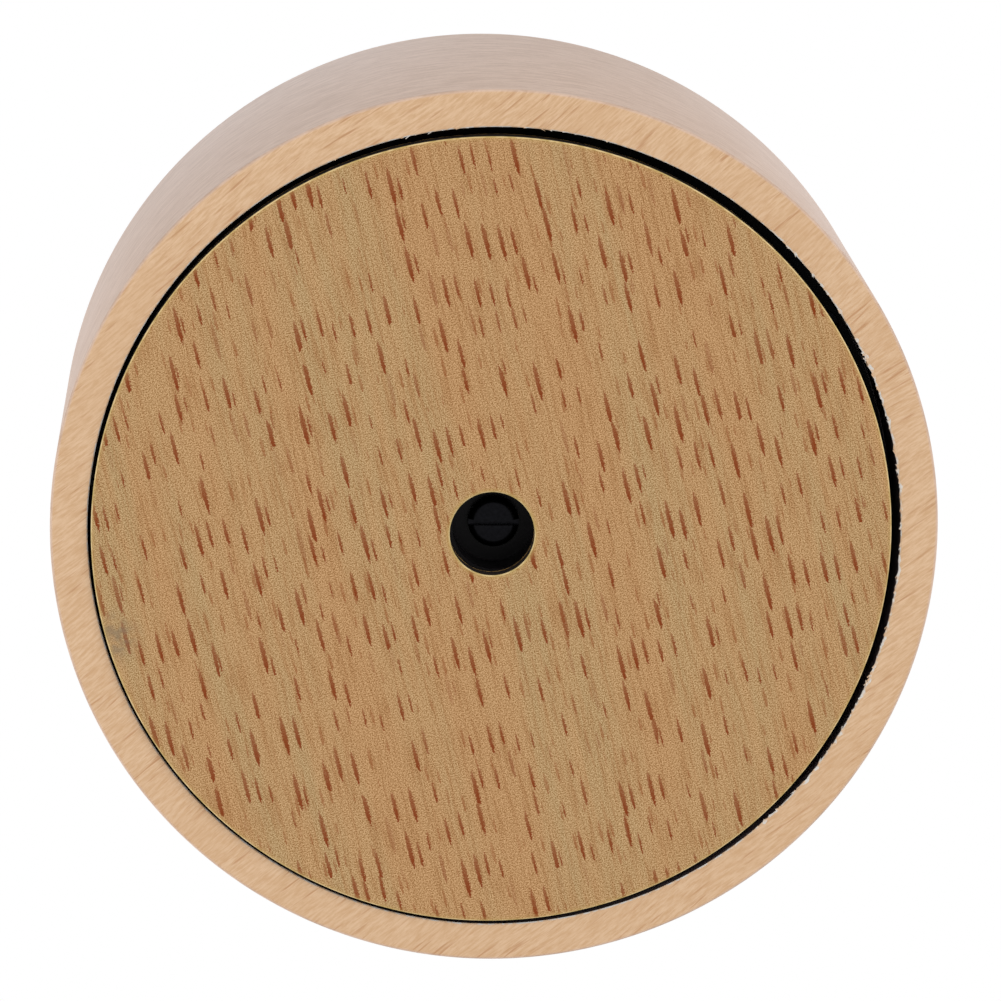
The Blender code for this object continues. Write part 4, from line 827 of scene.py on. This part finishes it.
def cut_slot(screw):
    """Cuts the slot and keeps the cut mesh, so that no modifier and no cutter is left."""
    cutter = make_slot_cutter()
    cut = screw.modifiers.new("slot", "BOOLEAN")
    cut.operation = "DIFFERENCE"
    cut.object = cutter
    bpy.context.view_layer.update()
    evaluated = screw.evaluated_get(bpy.context.evaluated_depsgraph_get())
    slotted = bpy.data.meshes.new_from_object(evaluated)
    screw.modifiers.clear()
    screw.data = slotted
    bpy.data.objects.remove(cutter)
    print("slotted screw has", len(slotted.polygons), "faces")


def make_plate_screw():
    """The screw, head down, turned from its outline."""
    low, high = screw_low.z, screw_high.z
    flat = SCREW_HEAD_RADIUS - SCREW_DOME
    outline = [(0, low), (flat, low)]
    outline += quarter_round(flat, low + SCREW_DOME, SCREW_DOME, -1)[1:]
    outline += [(SCREW_HEAD_RADIUS, low + SCREW_HEAD_HEIGHT),
                (SCREW_SHANK, low + SCREW_HEAD_HEIGHT), (SCREW_SHANK, high), (0, high)]
    screw = finish("plate_screw_head", turned(outline, SCREW_SIDES), "turntable", [black_steel],
                   ["plate_screw"])
    cut_slot(screw)
    return screw


make_plate_screw()

# %% [markdown]
# Plastic, metal and nylon
#
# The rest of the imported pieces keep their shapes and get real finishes. One plain colour each
# would pass from far away, but every one of these shows how it was made. Moulded black plastic
# has a fine spark-eroded grain. Turned brass and steel show marks from the tool, and cast zinc
# is cloudy, so one recipe with different numbers does for all four metals. Nylon is milky and
# waxy, which a little subsurface scattering gives.

# %% Plastic and nylon


def make_black_plastic():
    """Moulded plastic with a fine grain and a slow drift in its black, darker than moulded plastic
    as painted shade for the deep hole.
    """
    material, tree, shader = new_material("moulded_black", Roughness=0.38,
                                          Specular_IOR_Level=0.1)
    space = grain_space(tree, 0)
    grain = noise(tree, space, scale=6.0, detail=2)
    flow = noise(tree, space, scale=0.15, detail=2)
    # Both blacks are darker than moulded plastic: painted shade for the deep hole in the plate.
    colour = mixed(tree, flow, screen_colour(8, 7, 8), screen_colour(20, 18, 20))
    tree.links.new(colour, shader.inputs["Base Color"])
    bump(tree, shader, grain, 0.12, 0.02)
    return material


def make_nylon():
    """Natural nylon, which lets a little light into its skin."""
    material, tree, shader = new_material("natural_nylon", Roughness=0.42,
                                          Subsurface_Weight=0.15, Subsurface_Scale=2 * MM)
    space = grain_space(tree, 0)
    milk = noise(tree, space, scale=0.5, detail=3)
    colour = mixed(tree, milk, screen_colour(222, 218, 206), screen_colour(240, 238, 230))
    tree.links.new(colour, shader.inputs["Base Color"])
    bump(tree, shader, noise(tree, space, scale=4.0), 0.08, 0.02)
    return material


black_plastic = make_black_plastic()
nylon = make_nylon()
count_nodes(black_plastic, nylon)

# %% Metals
TOOL_DEGREES = 25


def make_metal(name, dark, light, roughness, scratch, cloud):
    """A metal whose colour and gloss drift, with scratches of one direction."""
    material, tree, shader = new_material(name, Metallic=1.0)
    space = grain_space(tree, TOOL_DEGREES)
    lines = noise(tree, stretched(tree, space, 0.4, scratch, scratch), detail=3, roughness=0.7)
    clouds = noise(tree, space, scale=cloud, detail=3)
    tone = calc(tree, "MULTIPLY_ADD", lines, 0.5, calc(tree, "MULTIPLY", clouds, 0.5))
    colour = mixed(tree, fade(tree, tone, 0.3, 0.7), screen_colour(*dark), screen_colour(*light))
    tree.links.new(colour, shader.inputs["Base Color"])
    gloss = fade(tree, tone, 0.3, 0.7, roughness + 0.1, roughness - 0.05)
    tree.links.new(gloss, shader.inputs["Roughness"])
    bump(tree, shader, lines, 0.1, 0.02)
    return material


steel = make_metal("bright_steel", (168, 170, 172), (212, 213, 214), 0.28, 9.0, 0.4)
zinc = make_metal("cast_zinc", (146, 148, 152), (188, 189, 192), 0.48, 1.5, 0.9)
brass = make_metal("drawn_brass", (196, 156, 84), (226, 190, 112), 0.26, 7.0, 0.3)
blued = make_metal("blued_spring", (52, 58, 78), (96, 102, 122), 0.26, 6.0, 0.6)
count_nodes(steel, zinc, brass, blued)

# %% Finishes by the record's slots
finishes = {"beech": case_wood, "beech_veneer": board_wood, "black_plastic": black_plastic,
            "zinc": zinc, "steel": steel, "black_steel": black_steel, "spring_steel": blued,
            "brass": brass, "nylon": nylon}
for part in frame["record"]["subparts"]:
    node_object = frame["nodes"][part["node"]]
    node_object.data.materials.clear()
    node_object.data.materials.append(finishes[part["material_slot"]])

# %% [markdown]
# Floor
#
# The box stands on a pale floor, but the photograph looks at its underside. A hidden floor would
# be missing in the views from above, so this one shows only there: where a camera ray meets its
# upper side it is a matt white, and to every other ray it is clear. It lies a hair below the
# board, because two surfaces at one height flicker.

# %% Floor
FLOOR_SIZE = 6.0
FLOOR_DROP = 0.1 * MM
FLOOR_WHITE = (0.9, 0.9, 0.9, 1)


def make_floor_material():
    """Matt white to a camera ray from above, and clear to every other ray."""
    material = bpy.data.materials.new("pale_floor")
    material.use_nodes = True
    tree = material.node_tree
    tree.nodes.clear()
    path = add(tree, "ShaderNodeLightPath")
    facing = add(tree, "ShaderNodeNewGeometry")
    upper = calc(tree, "SUBTRACT", 1.0, facing.outputs["Backfacing"])
    seen = calc(tree, "MULTIPLY", path.outputs["Is Camera Ray"], upper)
    clear = add(tree, "ShaderNodeBsdfTransparent")
    matt = add(tree, "ShaderNodeBsdfDiffuse", Color=FLOOR_WHITE)
    shown = add(tree, "ShaderNodeMixShader", Fac=seen)
    tree.links.new(clear.outputs[0], shown.inputs[1])
    tree.links.new(matt.outputs[0], shown.inputs[2])
    output = add(tree, "ShaderNodeOutputMaterial", Surface=shown.outputs[0])
    output.is_active_output = True
    return material


def make_floor():
    """A flat square under the box. It is part of the stage and not of the object."""
    shape = bmesh.new()
    bmesh.ops.create_grid(shape, x_segments=1, y_segments=1, size=FLOOR_SIZE / 2)
    bmesh.ops.translate(shape, verts=shape.verts, vec=(0, 0, -FLOOR_DROP))
    mesh = bpy.data.meshes.new("floor")
    shape.to_mesh(mesh)
    shape.free()
    mesh.materials.append(make_floor_material())
    floor = bpy.data.objects.new("floor", mesh)
    bpy.context.scene.collection.objects.link(floor)
    print("floor of", FLOOR_SIZE, "m")


make_floor()

# %% [markdown]
# Light
#
# The photograph has the soft, even light of a studio tent, on a white ground. More light would
# turn the ground white but wash out the wood with it. So the world is pure white only to the
# camera and to mirror-like rays, and dimmer as a source of light. Four broad lamps, two low and
# two high, add the slow change of tone round the case.

# %% World
AMBIENT = 0.5
WHITE = (1, 1, 1, 1)


def make_world():
    """White to the camera and in reflections, and half as bright as a light."""
    world = bpy.data.worlds.new("studio")
    bpy.context.scene.world = world
    world.use_nodes = True
    tree = world.node_tree
    tree.nodes.clear()
    path = add(tree, "ShaderNodeLightPath").outputs
    mirror = calc(tree, "MAXIMUM", path["Is Glossy Ray"], path["Is Transmission Ray"])
    seen = calc(tree, "MAXIMUM", path["Is Camera Ray"], mirror)
    shown = add(tree, "ShaderNodeBackground", Color=WHITE, Strength=1.0)
    light = add(tree, "ShaderNodeBackground", Color=WHITE, Strength=AMBIENT)
    both = add(tree, "ShaderNodeMixShader", Fac=seen)
    tree.links.new(light.outputs[0], both.inputs[1])
    tree.links.new(shown.outputs[0], both.inputs[2])
    add(tree, "ShaderNodeOutputWorld", Surface=both.outputs[0])
    print("world light", AMBIENT)


make_world()

# %% Lamps: place in metres, size in metres, power in watts
LAMPS = {
    "low_right_lamp": ((0.75, -0.55, -0.7), 0.6, 5.2),
    "low_left_lamp": ((-0.85, 0.2, -0.65), 0.6, 4.2),
    "high_front_lamp": ((0.7, 0.5, 0.95), 0.6, 6.0),
    "high_back_lamp": ((-0.7, 0.75, 0.6), 0.7, 4.0),
}


def add_lamp(name, place, size, power):
    """A square soft lamp that faces the middle of the box."""
    lamp = bpy.data.lights.new(name, "AREA")
    lamp.size = size
    lamp.energy = power
    held = bpy.data.objects.new(name, lamp)
    bpy.context.scene.collection.objects.link(held)
    middle = Vector((0, 0, (case_low.z + case_high.z) / 2))
    held.location = place
    held.rotation_euler = (middle - Vector(place)).to_track_quat("-Z", "Y").to_euler()
    print(name, "gives", power, "W")


for lamp_name, (lamp_place, lamp_size, lamp_power) in LAMPS.items():
    add_lamp(lamp_name, lamp_place, lamp_size, lamp_power)

# %% [markdown]
# Camera
#
# The photograph was taken from far away with a long lens, along the box's axis but 11.5 degrees
# to one side of it, so that the outer wall shows above the underside. The camera could be nudged
# by eye until the outline fits. Here it is found the way a surveyor would: the directions of the
# box's own axes are written as the camera sees them, with the place of the rim's middle in that
# view, and turning that round gives where the camera stands. Each value can then be corrected by
# itself.

# %% Camera at the photograph's viewing angle
TILT = math.radians(11.55)
SWING = math.radians(2.33)
LENS = 215.2
SENSOR_WIDTH = 36
NEAREST = 0.01
# The middle of the rim, as the camera sees it: right, down and forward, in case diameters.
RIM_IN_VIEW = Vector((-0.0059, 0.0341, 6.73)) * 2 * CASE_RADIUS


def make_camera():
    """The camera. Its view has right, down and forward as its three directions."""
    up_axis = Vector((-math.cos(TILT) * math.sin(SWING), -math.sin(TILT),
                      math.cos(TILT) * math.cos(SWING)))
    across = Vector((math.cos(SWING), 0, math.sin(SWING)))
    down = up_axis.cross(across)
    seen = Matrix((across, down, up_axis)).transposed()
    origin_in_view = RIM_IN_VIEW - seen @ Vector((0, 0, RIM_LEVEL))
    place = -(seen.transposed() @ origin_in_view)
    right, lower, forward = seen
    turn = Matrix((right, -lower, -forward)).transposed().to_4x4()
    lens = bpy.data.cameras.new("camera")
    lens.lens = LENS
    lens.sensor_width = SENSOR_WIDTH
    lens.clip_start = NEAREST
    camera = bpy.data.objects.new("camera", lens)
    bpy.context.scene.collection.objects.link(camera)
    camera.matrix_world = Matrix.Translation(place) @ turn
    bpy.context.scene.camera = camera
    print("camera at", [round(value, 3) for value in place])


make_camera()
bpy.context.scene.view_settings.view_transform = "Standard"
